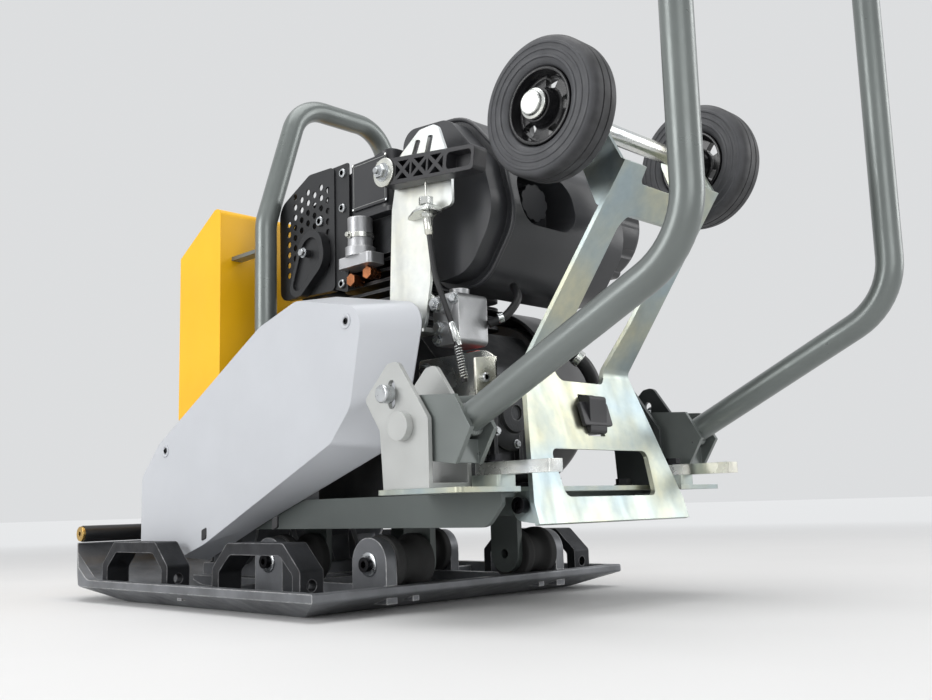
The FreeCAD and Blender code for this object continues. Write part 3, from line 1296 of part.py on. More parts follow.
def handle_pivots():
    """The hinge bolts of the handle, each with a round cap outside."""
    group = Group("handle_pivots")
    for sign in (1, -1):
        start = (sign * (D.cheek_inner - 8), D.hinge_y, D.hinge_height)
        length = D.cheek_outer - D.cheek_inner + 10
        shank = group.cylinder(start, (sign, 0, 0), D.hinge_bolt, length)
        cap = group.cylinder((sign * (D.cheek_outer + 0.2), D.hinge_y, D.hinge_height), (sign, 0, 0), 14, 8)
        nut = group.hexagon(((D.cheek_inner - 10) * sign, D.hinge_y, D.hinge_height), (sign, 0, 0), 13, 9.8)
        group.items.append(group.fuse([shank, cap, nut]))


def handle_latches():
    """A spring pin with a round knob in the slot of each handle bracket."""
    for side_name, sign in (("left", 1), ("right", -1)):
        start = D.cheek_outer - 5.8
        pin = Piece("handle_latch_" + side_name, (0, D.hinge_y - 16, D.hinge_height + 32),
                    UPRIGHT if sign > 0 else FreeCAD.Rotation(V(0, 0, 1), 180))
        pin.revolve("XZ", [Loop([(start, 0), (start + 20, 0), (start + 20, 9, 2), (start + 8, 9, 1),
                                 (start + 8, 4.6), (start, 4.6, 1)])], "H")


def wheel_carriage():
    """The wheel carriage: one bent and cut sheet with pivot lugs, and ears for the axle."""
    piece = Piece("wheel_carriage")
    sheet = D.carriage_sheet
    foot_y = D.carriage_foot_y
    foot_z = D.carriage_foot_height
    bend_y = D.carriage_bend_y
    bend_z = D.carriage_bend_height
    top_y = D.carriage_top_y
    top_z = D.carriage_top_height
    strip = Loop([
        (foot_y, foot_z), (bend_y, bend_z, 12), (top_y, top_z), (top_y - 4, top_z + 3),
        (bend_y - sheet - 1, bend_z, 17), (foot_y - sheet - 0.2, foot_z - 1.4),
    ])
    half = D.carriage_foot_half
    narrow = D.carriage_bend_half
    piece.pad("YZ", [strip], -half, half)
    ear = D.carriage_ear
    waste = Loop([
        (half, foot_z + 20), (narrow, bend_z), (ear, top_z - 10), (ear, top_z + 10), (half + 5, top_z + 10),
        (half + 5, foot_z + 20),
    ])
    flank = piece.pocket("XZ", [waste], bend_y - 20, top_y + 10)
    piece.mirror([flank], "YZ")
    windows = [
        Loop([(-76, 115, 8), (76, 115, 8), (82, 163, 8), (-82, 163, 8)]),
        Loop([(-40, 236, 12), (40, 236, 12), (48, 300, 20), (48, 392, 16), (-48, 392, 16), (-48, 300, 20)]),
        Loop([(-46, 418, 6), (46, 418, 6), (50, top_z + 10), (-50, top_z + 10)]),
        box_loop(-14.4, 177.6, 14.4, 222.4, 1),
    ]
    piece.pocket("XZ", windows, bend_y - 20, top_y + 10)
    lug = Loop([
        (D.pivot_y - 14, D.pivot_height - 14, 13), (foot_y - 2, foot_z, 4), (foot_y - 11, foot_z + 32),
        (D.pivot_y - 14, D.pivot_height + 14, 12),
    ])
    bore = Circle(D.pivot_y, D.pivot_height, D.pivot_bolt + D.hinge_fit)
    flange = piece.pad("YZ", [lug, bore], half - 8, half - 3)
    piece.mirror([flange], "YZ")
    arm = Loop([
        (top_y - 2, top_z - 2, 2), (top_y - 34, top_z - 44, 6), (D.axle_y - 17, D.axle_height - 4, 14),
        (D.axle_y - 6, D.axle_height + 17, 14), (D.axle_y + 17, D.axle_height + 8, 14),
    ])
    ring = Circle(D.axle_y, D.axle_height, D.axle_radius + 0.05)
    plate = piece.pad("YZ", [arm, ring], ear - sheet, ear)
    piece.mirror([plate], "YZ")
    buffer_block = Piece("carriage_buffer")
    buffer_block.pad("YZ", [Loop([(404, 180, 4), (438, 180, 4), (438, 220, 4), (404, 220, 4)])], -14, 14)


def wheel_axle():
    """The axle tube of the carriage with turned ends and a cap on each."""
    axle = Piece("wheel_axle", (0, D.axle_y, D.axle_height))
    end = D.axle_half_length
    axle.revolve("XZ", [Loop([(-end, 0), (end, 0), (end, D.axle_radius - 1), (end - 2, D.axle_radius),
                              (2 - end, D.axle_radius), (-end, D.axle_radius - 1)])], "H")
    caps = Group("axle_caps")
    for sign in (1, -1):
        cap = Piece("axle_cap", (sign * (D.wheel_x + D.wheel_half_width + D.play), D.axle_y, D.axle_height),
                    UPRIGHT if sign > 0 else FreeCAD.Rotation(V(0, 0, 1), 180))
        PIECES.remove(cap)
        bore = D.axle_radius + 0.02
        cap.revolve("XZ", [Loop([(0, bore), (0, 15, 1), (3, 15, 1), (4, 12.5), (8, 11.5, 2), (8, 0),
                                 (5.2, 0), (5.2, bore)])], "H")
        caps.items.append(cap.finish())


def wheels():
    """Two wheels: a spoked rim and a solid rubber tyre each."""
    for side_name, sign in (("left", 1), ("right", -1)):
        position = (sign * D.wheel_x, D.axle_y, D.axle_height)
        turned = UPRIGHT if sign > 0 else FreeCAD.Rotation(V(0, 0, 1), 180)
        rim = Piece("wheel_rim_" + side_name, position, turned)
        half = D.wheel_half_width
        bore = D.axle_radius + D.wheel_fit
        hub = D.hub_radius
        outer = D.rim_radius
        rim.revolve("XZ", [Loop([
            (-half, bore), (half, bore), (half, hub, 1), (5, hub + 1, 4), (5, outer - 6, 2), (half - 4, outer - 3, 1),
            (half - 4, outer, 1), (4 - half, outer, 1), (4 - half, outer - 3, 1), (-3, outer - 6, 2),
            (-3, hub + 1, 4), (-half, hub, 1)])], "H")
        window = rim.pocket("YZ", [Loop([
            (hub + 3, -5.5, 2), (outer - 6.5, -9, 3), (outer - 6.5, 9, 3), (hub + 3, 5.5, 2)])], -8, 10)
        rim.pattern([window], "X", 5)
        tyre = Piece("tyre_" + side_name, position, turned)
        radius = D.wheel_radius
        tread = Loop([
            (4 - half, outer + 0.05), (half - 4, outer + 0.05), (half - 1, outer + 4, 2), (half - 3, outer + 12, 4),
            (half, radius - 14, 6), (half - 3, radius - 4, 5), (half - 8, radius, 3),
            (5.5, radius), (4.5, radius - 3), (-4.5, radius - 3), (-5.5, radius),
            (8 - half, radius, 3), (3 - half, radius - 4, 5), (-half, radius - 14, 6),
            (3 - half, outer + 12, 4), (1 - half, outer + 4, 2),
        ])
        tyre.revolve("XZ", [tread], "H")


def carriage_bolts():
    """The pivot bolts of the carriage and the bolts of the stop bars and cross plate."""
    group = Group("console_bolts")
    for sign in (1, -1):
        group.socket_bolt((sign * (D.carriage_foot_half - 2.6), D.pivot_y, D.pivot_height), (sign, 0, 0),
                          D.pivot_bolt, 18)
    top = D.console_top + D.cheek_sheet
    radius = D.console_bolt_radius
    for sign in (1, -1):
        group.bolt((sign * D.stop_bar_x, D.stop_bolt_y, top + 23), (0, 0, 1), radius, 20)
        group.bolt((sign * D.bracket_bolt_x, D.bracket_bolt_y, top + D.cheek_sheet), (0, 0, 1), radius, 9)
        group.bolt((sign * D.cross_bolt_x, D.cross_bolt_y, top), (0, 0, 1), radius, 4)
    for x in (D.engine_bolt_left, D.engine_bolt_right):
        for y in (D.crankcase_front - 9, D.crankcase_rear + 9):
            group.bolt((x, y, D.console_top + D.engine_foot + 4), (0, 0, 1), D.engine_bolt_radius, 16)


def small_controls():
    """The caps, the tap, the starter grip, the dipstick and the hoses."""
    slope = math.degrees(math.atan2(SIZES["water_slope_rise"], SIZES["water_slope_run"]))
    middle_y = D.water_rear - 14 - D.water_slope_run / 2
    middle_z = D.water_top - D.water_slope_rise / 2
    cap = Piece("water_cap", (D.water_neck_x, middle_y, middle_z), FreeCAD.Rotation(V(1, 0, 0), slope))
    cap.pad("XY", [Circle(0, 0, 26)], D.gap, 16)
    rib = cap.pocket("XY", [Circle(30, 0, 6)], -1, 17)
    cap.pattern([rib], "Z", 10)
    grip = Piece("recoil_grip", (-130, 122, 360.5))
    grip.pad("XY", [box_loop(-28, -9, 28, 9, 8)], 0, 18)
    grip.pad("XY", [Circle(0, 0, 5)], -14, 1)
    stick = Piece("oil_dipstick", (D.oil_x, D.crankcase_rear + D.gap, D.oil_z))
    stick.pad("XZ", [Circle(0, 0, 11)], 0, 14)
    stick.pad("XZ", [Circle(0, 0, 15)], 13, 26)
    stick.pad("XZ", [box_loop(-15, -4, 15, 4, 2)], 25, 36)
    lever = Piece("water_tap_lever", (76, -176, 216))
    lever.pad("XY", [box_loop(-5, -5, 5, 36, 4)], -8, -3)
    lever.pad("XY", [Circle(0, 0, 7)], -8, 2)


def hoses():
    """The water hose from the tank's tap down to the sprinkler bar."""
    points = [(60, -176, 212), (60, -184, 150), (60, -270, 128), (60, -270, 97.3)]
    path = bent_path(points, [45, 20])
    Formed("water_hose", sweep(path, SIZES["hose_radius"]))


def main():
    """Builds every piece, checks it and writes its file."""
    base_plate()
    carry_handles("left", 1)
    carry_handles("right", -1)
    exciter_housing()
    exciter_end_covers()
    exciter_bearings()
    exciter_shaft()
    belt_drive()
    shock_mounts()
    base_bolts()
    sprinkler()
    console_frame()
    crankcase()
    cylinder_head()
    rocker_cover()
    fan_housing()
    crank_train()
    silencer()
    fuel_tank()
    air_filter()
    injection_pump()
    breather()
    control_bracket()
    throttle()
    throttle_cable()
    belt_guard()
    water_tank()
    lifting_frame()
    rear_cross_plate()
    stop_bars()
    handle_bracket("left", 1)
    handle_bracket("right", -1)
    handle()
    handle_pivots()
    handle_latches()
    wheel_carriage()
    wheel_axle()
    wheels()
    carriage_bolts()
    small_controls()
    hoses()
    export_pieces()


def find_faults(objects):
    """Names every failed object, invalid piece and cut that removes nothing."""
    faults = []
    for item in DOC.Objects:
        owner = item.getParentGeoFeatureGroup()
        name = (owner.Label + "." if owner else "") + item.Name
        if "Invalid" in item.State or "Error" in item.State:
            faults.append(name)
        elif item.TypeId in ("PartDesign::Pocket", "PartDesign::Groove") and item.BaseFeature:
            shapes = (item.Shape, item.BaseFeature.Shape)
            if any(shape.isNull() for shape in shapes) or shapes[0].Volume >= shapes[1].Volume - 0.01:
                faults.append(name + " cuts nothing")
    for item in objects:
        if item.Shape.isNull() or not item.Shape.isValid():
            faults.append(item.Label + " has no valid shape")
    return faults


def export_pieces():
    """Recomputes the document, checks every object and writes one file per piece."""
    objects = [piece.finish() for piece in PIECES]
    DOC.recompute()
    faults = find_faults(objects)
    if faults:
        raise RuntimeError("faults: " + ", ".join(faults))
    os.makedirs("parts", exist_ok=True)
    for item in objects:
        item.Shape.exportStep("parts/%s.step" % item.Label)
        print(item.Label, len(item.Shape.Solids), round(item.Shape.Volume / 1000, 1))


main()
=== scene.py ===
"""Visual model of a walk-behind plate compactor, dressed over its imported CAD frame.

Every sub-assembly is a class with its sizes as fields. Surfaces are worked out with numpy on parameter grids,
and every finish is a small frozen dataclass that builds a procedural material on Object coordinates.
Lengths are metres in the frame of the CAD: +Z up, -Y the direction of travel, +X the belt side.
"""

from __future__ import annotations

import logging
import math
from dataclasses import dataclass
from enum import Enum

import bpy
import numpy as np
from mathutils import Matrix, Vector

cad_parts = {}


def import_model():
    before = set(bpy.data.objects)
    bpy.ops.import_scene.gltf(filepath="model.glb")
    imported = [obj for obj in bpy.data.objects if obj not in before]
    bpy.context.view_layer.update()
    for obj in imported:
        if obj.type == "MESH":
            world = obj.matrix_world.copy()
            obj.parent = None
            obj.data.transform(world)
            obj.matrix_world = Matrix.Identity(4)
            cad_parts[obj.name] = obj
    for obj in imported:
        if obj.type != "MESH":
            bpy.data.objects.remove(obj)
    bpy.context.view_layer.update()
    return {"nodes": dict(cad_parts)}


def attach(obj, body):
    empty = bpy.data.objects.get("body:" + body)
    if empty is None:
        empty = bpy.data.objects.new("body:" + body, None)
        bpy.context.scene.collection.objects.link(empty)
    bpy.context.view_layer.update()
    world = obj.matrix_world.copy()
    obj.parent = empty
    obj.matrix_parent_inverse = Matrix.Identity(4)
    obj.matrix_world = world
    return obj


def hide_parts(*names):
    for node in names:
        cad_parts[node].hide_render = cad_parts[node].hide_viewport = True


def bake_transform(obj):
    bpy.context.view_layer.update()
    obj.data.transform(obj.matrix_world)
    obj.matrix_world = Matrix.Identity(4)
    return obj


LOG = logging.getLogger("plate_compactor")
MM = 0.001
Point = tuple[float, float, float]
Colour = tuple[float, float, float]


class Axis(Enum):
    """A main direction of the frame."""

    X = (1.0, 0.0, 0.0)
    Y = (0.0, 1.0, 0.0)
    Z = (0.0, 0.0, 1.0)
    BACK_X = (-1.0, 0.0, 0.0)


class Shading(Enum):
    """How a piece's faces are shaded."""

    FLAT = 0
    SMOOTH = 1
    BY_ANGLE = 2


def linear(red: float, green: float, blue: float) -> Colour:
    """Turns a display colour of 0 to 255 into the linear colour that shaders use.

    Args:
        red: Display red.
        green: Display green.
        blue: Display blue.

    Returns:
        The linear colour.
    """
    parts = np.array([red, green, blue]) / 255.0
    low = parts / 12.92
    high = ((parts + 0.055) / 1.055) ** 2.4
    return tuple(np.where(parts <= 0.04045, low, high).tolist())


@dataclass
class Surface:
    """A mesh held as plain arrays: points and faces.

    Attributes:
        points: Array of n by 3 coordinates, in metres.
        faces: List of point indices per face, turning left seen from outside.
    """

    points: np.ndarray
    faces: list[list[int]]

    def __add__(self, other: "Surface") -> "Surface":
        """Joins two surfaces without merging their points."""
        shift = len(self.points)
        moved = [[index + shift for index in face] for face in other.faces]
        return Surface(np.vstack([self.points, other.points]), self.faces + moved)

    def turned(self, direction: Point, centre: Point) -> "Surface":
        """Turns the surface's own +Z to a direction and moves its origin to a centre.

        Args:
            direction: The direction that +Z turns to.
            centre: Where the origin goes.

        Returns:
            The moved surface.
        """
        turn = np.array(Vector(direction).to_track_quat("Z", "Y").to_matrix())
        return Surface(self.points @ turn.T + np.array(centre), self.faces)


def grid(points: np.ndarray, wrap_u: bool = False, wrap_v: bool = False, cap: bool = False) -> Surface:
    """Faces a grid of points: cell (i, j) joins four neighbours, and ends may be closed by one face each.

    Args:
        points: Array of rows by columns by 3.
        wrap_u: Whether the last row joins the first.
        wrap_v: Whether the last column joins the first.
        cap: Whether the first and last rows are closed by a face.

    Returns:
        The surface.
    """
    rows, columns = points.shape[:2]
    row = np.arange(rows if wrap_u else rows - 1)
    column = np.arange(columns if wrap_v else columns - 1)
    i, j = np.meshgrid(row, column, indexing="ij")
    after_i = (i + 1) % rows
    after_j = (j + 1) % columns
    near, far = i * columns, after_i * columns
    quads = np.stack([near + j, near + after_j, far + after_j, far + j], -1)
    faces = quads.reshape(-1, 4).tolist()
    if cap:
        faces.append(list(range(columns))[::-1])
        faces.append(list(range((rows - 1) * columns, rows * columns)))
    return Surface(points.reshape(-1, 3), faces)


def lathe(profile: list[tuple[float, float]], sides: int = 48, closed: bool = False) -> Surface:
    """Turns a profile about +Z: point (r, h) at angle a goes to (r cos a, r sin a, h).

    Args:
        profile: Pairs of radius and height in millimetres, from the bottom outwards and up.
        sides: Number of steps round the axis.
        closed: Whether the profile is a closed ring, as a tyre's is.

    Returns:
        The turned surface.
    """
    radius, height = (np.array(profile, float) * MM).T
    angle = np.linspace(0, 2 * math.pi, sides, endpoint=False)
    points = np.stack([
        radius[:, None] * np.cos(angle), radius[:, None] * np.sin(angle),
        np.broadcast_to(height[:, None], (len(profile), sides)),
    ], -1)
    return grid(points, wrap_u=closed, wrap_v=True, cap=not closed)


def smooth_path(points: np.ndarray, count: int) -> np.ndarray:
    """A smooth curve through points: cubic pieces whose tangents come from each point's neighbours.

    Args:
        points: The points that the curve passes, n by 3.
        count: Number of points on each piece.

    Returns:
        The curve's points.
    """
    padded = np.vstack([2 * points[0] - points[1], points, 2 * points[-1] - points[-2]])
    t = np.linspace(0, 1, count, endpoint=False)[:, None, None]
    before, start, end, after = (padded[k:len(padded) - 3 + k][None] for k in range(4))
    curve = 0.5 * (2 * start + (end - before) * t + (2 * before - 5 * start + 4 * end - after) * t ** 2
                   + (3 * start - before - 3 * end + after) * t ** 3)
    return np.vstack([curve.transpose(1, 0, 2).reshape(-1, 3), points[-1:]])


def tube(path: np.ndarray, radius: float, sides: int = 16) -> Surface:
    """A round tube along a path: each ring stands square to the path's tangent.

    Args:
        path: Points of the centreline, n by 3, in metres.
        radius: Tube radius in millimetres.
        sides: Number of points in each ring.

    Returns:
        The closed tube.
    """
    tangent = np.gradient(path, axis=0)
    tangent /= np.linalg.norm(tangent, axis=1)[:, None]
    least = np.eye(3)[np.argmin(np.abs(tangent).max(0))]
    side = np.cross(tangent, least)
    side /= np.linalg.norm(side, axis=1)[:, None]
    up = np.cross(side, tangent)
    angle = -np.linspace(0, 2 * math.pi, sides, endpoint=False)[None, :, None]
    ring = np.cos(angle) * side[:, None] + np.sin(angle) * up[:, None]
    return grid(path[:, None] + ring * radius * MM, wrap_v=True, cap=True)


def at(*place: float) -> Point:
    """A place given in millimetres, in metres."""
    return tuple(part * MM for part in place)


def gather(surfaces: list[Surface]) -> Surface:
    """Joins many surfaces into one."""
    total = surfaces[0]
    for surface in surfaces[1:]:
        total = total + surface
    return total


def spread(shape: Surface, direction: Axis, *spots: Point) -> Surface:
    """Copies of a shape at several places given in millimetres, with its +Z along one direction."""
    return gather([shape.turned(direction.value, at(*spot)) for spot in spots])


def box(low_u: float, low_v: float, high_u: float, high_v: float) -> list[tuple[float, float]]:
    """The four corners of a rectangle, turning left."""
    return [(low_u, low_v), (high_u, low_v), (high_u, high_v), (low_u, high_v)]


def route(*places: Point, count: int = 8) -> np.ndarray:
    """A smooth path through places given in millimetres."""
    return smooth_path(np.array(places, float) * MM, count)


def ring(inner: float, outer: float, low: float, high: float, sides: int = 40) -> Surface:
    """A flat ring about +Z with its outer corners broken, sizes in millimetres."""
    edge = min(0.5, (high - low) * 0.3)
    profile = [(inner, low), (outer - edge, low), (outer, low + edge), (outer, high - edge),
               (outer - edge, high), (inner, high)]
    return lathe(profile, sides, closed=True)


def coil(start: Point, end: Point, radius: float, wire: float, turns: int) -> Surface:
    """A spring from start to end, with n turns about its axis.

    At share s the wire is at start + s (end - start) + r (u cos 2 pi n s + v sin 2 pi n s).

    Args:
        start: First end of the axis, in millimetres.
        end: Other end of the axis, in millimetres.
        radius: Radius of the coil in millimetres.
        wire: Radius of the wire in millimetres.
        turns: Number of turns.

    Returns:
        The spring's surface.
    """
    first, last = np.array(start) * MM, np.array(end) * MM
    turn = np.array(Vector(last - first).to_track_quat("Z", "Y").to_matrix())
    share = np.linspace(0, 1, turns * 16)[:, None]
    angle = share * turns * 2 * math.pi
    around = radius * MM * (np.cos(angle) * turn[:, 0] + np.sin(angle) * turn[:, 1])
    return tube(first + share * (last - first) + around, wire, 8)


def weld(centre: Point, direction: Point, radius: float, bead: float, scales: int = 34) -> Surface:
    """A weld round a tube: bead radius b (1 + 0.25 |sin(n a / 2)|) at angle a, so that it shows its ripples.

    Args:
        centre: Centre of the seam in millimetres.
        direction: Direction of the tube.
        radius: Radius of the tube in millimetres.
        bead: Radius of the bead in millimetres.
        scales: Number of ripples.

    Returns:
        The ring's surface.
    """
    sweep = np.linspace(0, 2 * math.pi, scales * 6, endpoint=False)[:, None]
    side = np.linspace(0, 2 * math.pi, 10, endpoint=False)[None, :]
    size = bead * (1 + 0.25 * np.abs(np.sin(sweep * scales / 2)))
    out = radius + size * np.cos(side)
    points = np.stack([out * np.cos(sweep), out * np.sin(sweep), size * np.sin(side) + 0 * sweep], -1) * MM
    return grid(points[::-1], wrap_u=True, wrap_v=True).turned(direction, at(*centre))


def plate(outline: list[tuple[float, float]], low: float, high: float, plane: str = "YZ") -> Surface:
    """A flat plate: an outline in one plane, carried straight from one level to another.

    Args:
        outline: Corner pairs in millimetres, turning left seen along the plane's normal.
        low: Lower level in millimetres.
        high: Upper level in millimetres.
        plane: "YZ", "XZ" or "XY".

    Returns:
        The closed plate.
    """
    flat = np.array(outline, float) * MM
    levels = np.array([low, high]) * MM
    columns = {"YZ": (1, 2, 0), "XZ": (0, 2, 1), "XY": (0, 1, 2)}[plane]
    points = np.zeros((2, len(flat), 3))
    points[:, :, columns[0]] = flat[:, 0]
    points[:, :, columns[1]] = flat[:, 1]
    points[:, :, columns[2]] = levels[:, None]
    if plane == "XZ":
        points = points[::-1]
    return grid(points, wrap_v=True, cap=True)


def hex_bolt(radius: float, height: float, dome: float = 0.18) -> Surface:
    """A hexagon head on a washer, seated at the origin and standing along +Z.

    Args:
        radius: Distance from the axis to a corner, in millimetres.
        height: Height of the head in millimetres.
        dome: Chamfer of the head as a share of its height.

    Returns:
        The bolt's surface.
    """
    rim = radius * 1.25
    washer = lathe([(0.01, 0), (rim, 0), (rim, 1.2), (radius * 0.8, 1.2), (0.01, 1.2)], 32)
    flat = radius * 0.9
    head = lathe([
        (0.01, 1.0), (radius, 1.0), (radius, height * (1 - dome)), (flat, height), (0.01, height),
    ], 6)
    return washer + head


def socket_bolt(radius: float, height: float) -> Surface:
    """A round head with a hexagon recess, seated at the origin and standing along +Z.

    Args:
        radius: Radius of the head in millimetres.
        height: Height of the head in millimetres.

    Returns:
        The bolt's surface.
    """
    body = lathe([
        (0.01, 0), (radius, 0), (radius, height - 1), (radius - 1, height), (radius * 0.62, height),
    ], 32)
    recess = lathe([(radius * 0.62, height), (radius * 0.58, height - 0.4), (radius * 0.5, height * 0.4),
                    (0.01, height * 0.4)], 6)
    return body + recess


def rounded(outline: list[tuple[float, float]], radius: float, steps: int = 4) -> list[tuple[float, float]]:
    """Rounds the corners of an outline: each becomes a quadratic curve between two points beside it.

    Args:
        outline: Corner pairs in millimetres.
        radius: How far along each side the curve starts.
        steps: Number of steps in each curve.

    Returns:
        The rounded outline.
    """
    corners = np.array(outline, float)
    to_before = np.roll(corners, 1, 0) - corners
    to_after = np.roll(corners, -1, 0) - corners
    reach_before = np.minimum(radius, np.linalg.norm(to_before, axis=1) * 0.45)[:, None]
    reach_after = np.minimum(radius, np.linalg.norm(to_after, axis=1) * 0.45)[:, None]
    start = corners + to_before / np.linalg.norm(to_before, axis=1)[:, None] * reach_before
    end = corners + to_after / np.linalg.norm(to_after, axis=1)[:, None] * reach_after
    t = np.linspace(0, 1, steps + 1)[None, :, None]
    curve = (1 - t) ** 2 * start[:, None] + 2 * t * (1 - t) * corners[:, None] + t ** 2 * end[:, None]
    return [tuple(pair) for pair in curve.reshape(-1, 2)]


class Graph:
    """A material's node graph around one Principled shader, with short calls for its usual parts."""

    def __init__(self, name: str) -> None:
        """Makes an empty material with its shader and its coordinates."""
        self.material = bpy.data.materials.new(name)
        self.material.use_nodes = True
        self.tree = self.material.node_tree
        self.tree.nodes.clear()
        output = self.add("ShaderNodeOutputMaterial")
        self.shader = self.add("ShaderNodeBsdfPrincipled")
        self.link(self.shader.outputs["BSDF"], output.inputs["Surface"])
        self.place = self.add("ShaderNodeTexCoord").outputs["Object"]

    def add(self, kind: str, **settings: object) -> bpy.types.Node:
        """Adds a node and sets its properties."""
        node = self.tree.nodes.new(kind)
        for name, value in settings.items():
            setattr(node, name, value)
        return node

    def link(self, source: bpy.types.NodeSocket, target: bpy.types.NodeSocket) -> None:
        """Joins two sockets."""
        self.tree.links.new(source, target)

    def noise(self, scale: float, detail: float = 3.0,
              stretch: Point = (1.0, 1.0, 1.0)) -> bpy.types.NodeSocket:
        """Noise on the Object coordinates.

        Args:
            scale: Cells per metre.
            detail: Octaves.
            stretch: Scale of each axis, so that streaks can run along one.

        Returns:
            The noise's value socket.
        """
        mapping = self.add("ShaderNodeMapping")
        mapping.inputs["Scale"].default_value = stretch
        self.link(self.place, mapping.inputs["Vector"])
        noise = self.add("ShaderNodeTexNoise")
        noise.inputs["Scale"].default_value = scale
        noise.inputs["Detail"].default_value = detail
        self.link(mapping.outputs["Vector"], noise.inputs["Vector"])
        return noise.outputs["Fac"]

    def ramp(self, value: bpy.types.NodeSocket, stops: list[tuple[float, Colour]]) -> bpy.types.NodeSocket:
        """Turns a value into a colour through stops."""
        ramp = self.add("ShaderNodeValToRGB")
        elements = ramp.color_ramp.elements
        while len(elements) < len(stops):
            elements.new(0.5)
        for element, (position, colour) in zip(elements, stops):
            element.position = position
            element.color = (*colour, 1.0)
        self.link(value, ramp.inputs["Fac"])
        return ramp.outputs["Color"]

    def span(self, value: bpy.types.NodeSocket, source: tuple[float, float],
             target: tuple[float, float]) -> bpy.types.NodeSocket:
        """Maps a value from one range to another."""
        node = self.add("ShaderNodeMapRange")
        for name, number in zip(("From Min", "From Max", "To Min", "To Max"), (*source, *target)):
            node.inputs[name].default_value = number
        self.link(value, node.inputs["Value"])
        return node.outputs["Result"]

    def math(self, rule: str, first: bpy.types.NodeSocket,
             second: bpy.types.NodeSocket | float) -> bpy.types.NodeSocket:
        """Joins two values by a rule of the Math node."""
        node = self.add("ShaderNodeMath", operation=rule)
        self.link(first, node.inputs[0])
        if isinstance(second, (int, float)):
            node.inputs[1].default_value = second
        else:
            self.link(second, node.inputs[1])
        return node.outputs["Value"]

    def blend(self, share: bpy.types.NodeSocket, first: object, second: object) -> bpy.types.NodeSocket:
        """Mixes two colours, each a socket or a plain colour, by a share."""
        node = self.add("ShaderNodeMix", data_type="RGBA")
        self.link(share, node.inputs["Factor"])
        for item, socket in ((first, node.inputs[6]), (second, node.inputs[7])):
            if isinstance(item, tuple):
                socket.default_value = (*item, 1.0)
            else:
                self.link(item, socket)
        return node.outputs[2]

    def edges(self, radius: float, first: float = 0.86, last: float = 0.985) -> bpy.types.NodeSocket:
        """A share that is 1 on edges, where the rounded normal leaves the true one, with noise in it: worn
        edges on the castings, a painted edge highlight on paint and mouldings.
        """
        rounded_normal = self.add("ShaderNodeBevel", samples=6)
        rounded_normal.inputs["Radius"].default_value = radius
        true_normal = self.add("ShaderNodeNewGeometry")
        product = self.add("ShaderNodeVectorMath", operation="DOT_PRODUCT")
        self.link(rounded_normal.outputs["Normal"], product.inputs[0])
        self.link(true_normal.outputs["Normal"], product.inputs[1])
        # Edge mask: real wear on the castings, painted highlight where paint and mouldings use it.
        wear = self.span(product.outputs["Value"], (first, last), (1.0, 0.0))
        patches = self.span(self.noise(90.0, 4.0), (0.35, 0.6), (0.3, 1.0))
        return self.math("MULTIPLY", wear, patches)

    def surface(self, colour: object, roughness: object, metallic: float = 0.0) -> None:
        """Sets the shader's colour, roughness and metallic, each a socket or a plain value."""
        for name, item in (("Base Color", colour), ("Roughness", roughness)):
            if isinstance(item, tuple):
                self.shader.inputs[name].default_value = (*item, 1.0)
            elif isinstance(item, float):
                self.shader.inputs[name].default_value = item
            else:
                self.link(item, self.shader.inputs[name])
        self.shader.inputs["Metallic"].default_value = metallic

    def relief(self, height: bpy.types.NodeSocket, strength: float, distance: float, edge: float) -> None:
        """Gives the surface a bump over edges rounded by a small radius."""
        soft = self.add("ShaderNodeBevel", samples=4)
        soft.inputs["Radius"].default_value = edge
        bump = self.add("ShaderNodeBump")
        bump.inputs["Strength"].default_value = strength
        bump.inputs["Distance"].default_value = distance
        self.link(height, bump.inputs["Height"])
        self.link(soft.outputs["Normal"], bump.inputs["Normal"])
        self.link(bump.outputs["Normal"], self.shader.inputs["Normal"])

    def radius_from(self, centre: Point) -> bpy.types.NodeSocket:
        """Distance of a surface point from a line along X through a centre."""
        mapping = self.add("ShaderNodeMapping")
        mapping.inputs["Location"].default_value = tuple(-part for part in centre)
        mapping.inputs["Scale"].default_value = (1.0, 1.0, 1.0)
        self.link(self.place, mapping.inputs["Vector"])
        flat = self.add("ShaderNodeVectorMath", operation="MULTIPLY")
        flat.inputs[1].default_value = (0.0, 1.0, 1.0)
        self.link(mapping.outputs["Vector"], flat.inputs[0])
        length = self.add("ShaderNodeVectorMath", operation="LENGTH")
        self.link(flat.outputs["Vector"], length.inputs[0])
        return length.outputs["Value"]


@dataclass(frozen=True)
class CastIron:
    """Shot-blasted casting: grainy, mottled, with edges worn to bright metal."""

    name: str
    dark: Colour
    light: Colour
    worn: Colour
    grain: float = 420.0
    roughness: float = 0.42
    metallic: float = 0.75

    def build(self) -> bpy.types.Material:
        """Builds the material."""
        graph = Graph(self.name)
        mottle = graph.ramp(graph.noise(16.0, 5.0), [(0.35, self.dark), (0.65, self.light)])
        wear = graph.edges(0.0022)
        colour = graph.blend(wear, mottle, self.worn)
        rough = graph.span(graph.noise(60.0, 3.0), (0.3, 0.7), (self.roughness - 0.08, self.roughness + 0.12))
        graph.surface(colour, rough, self.metallic)
        graph.relief(graph.noise(self.grain, 3.0), 0.35, 0.0006, 0.0012)
        return graph.material


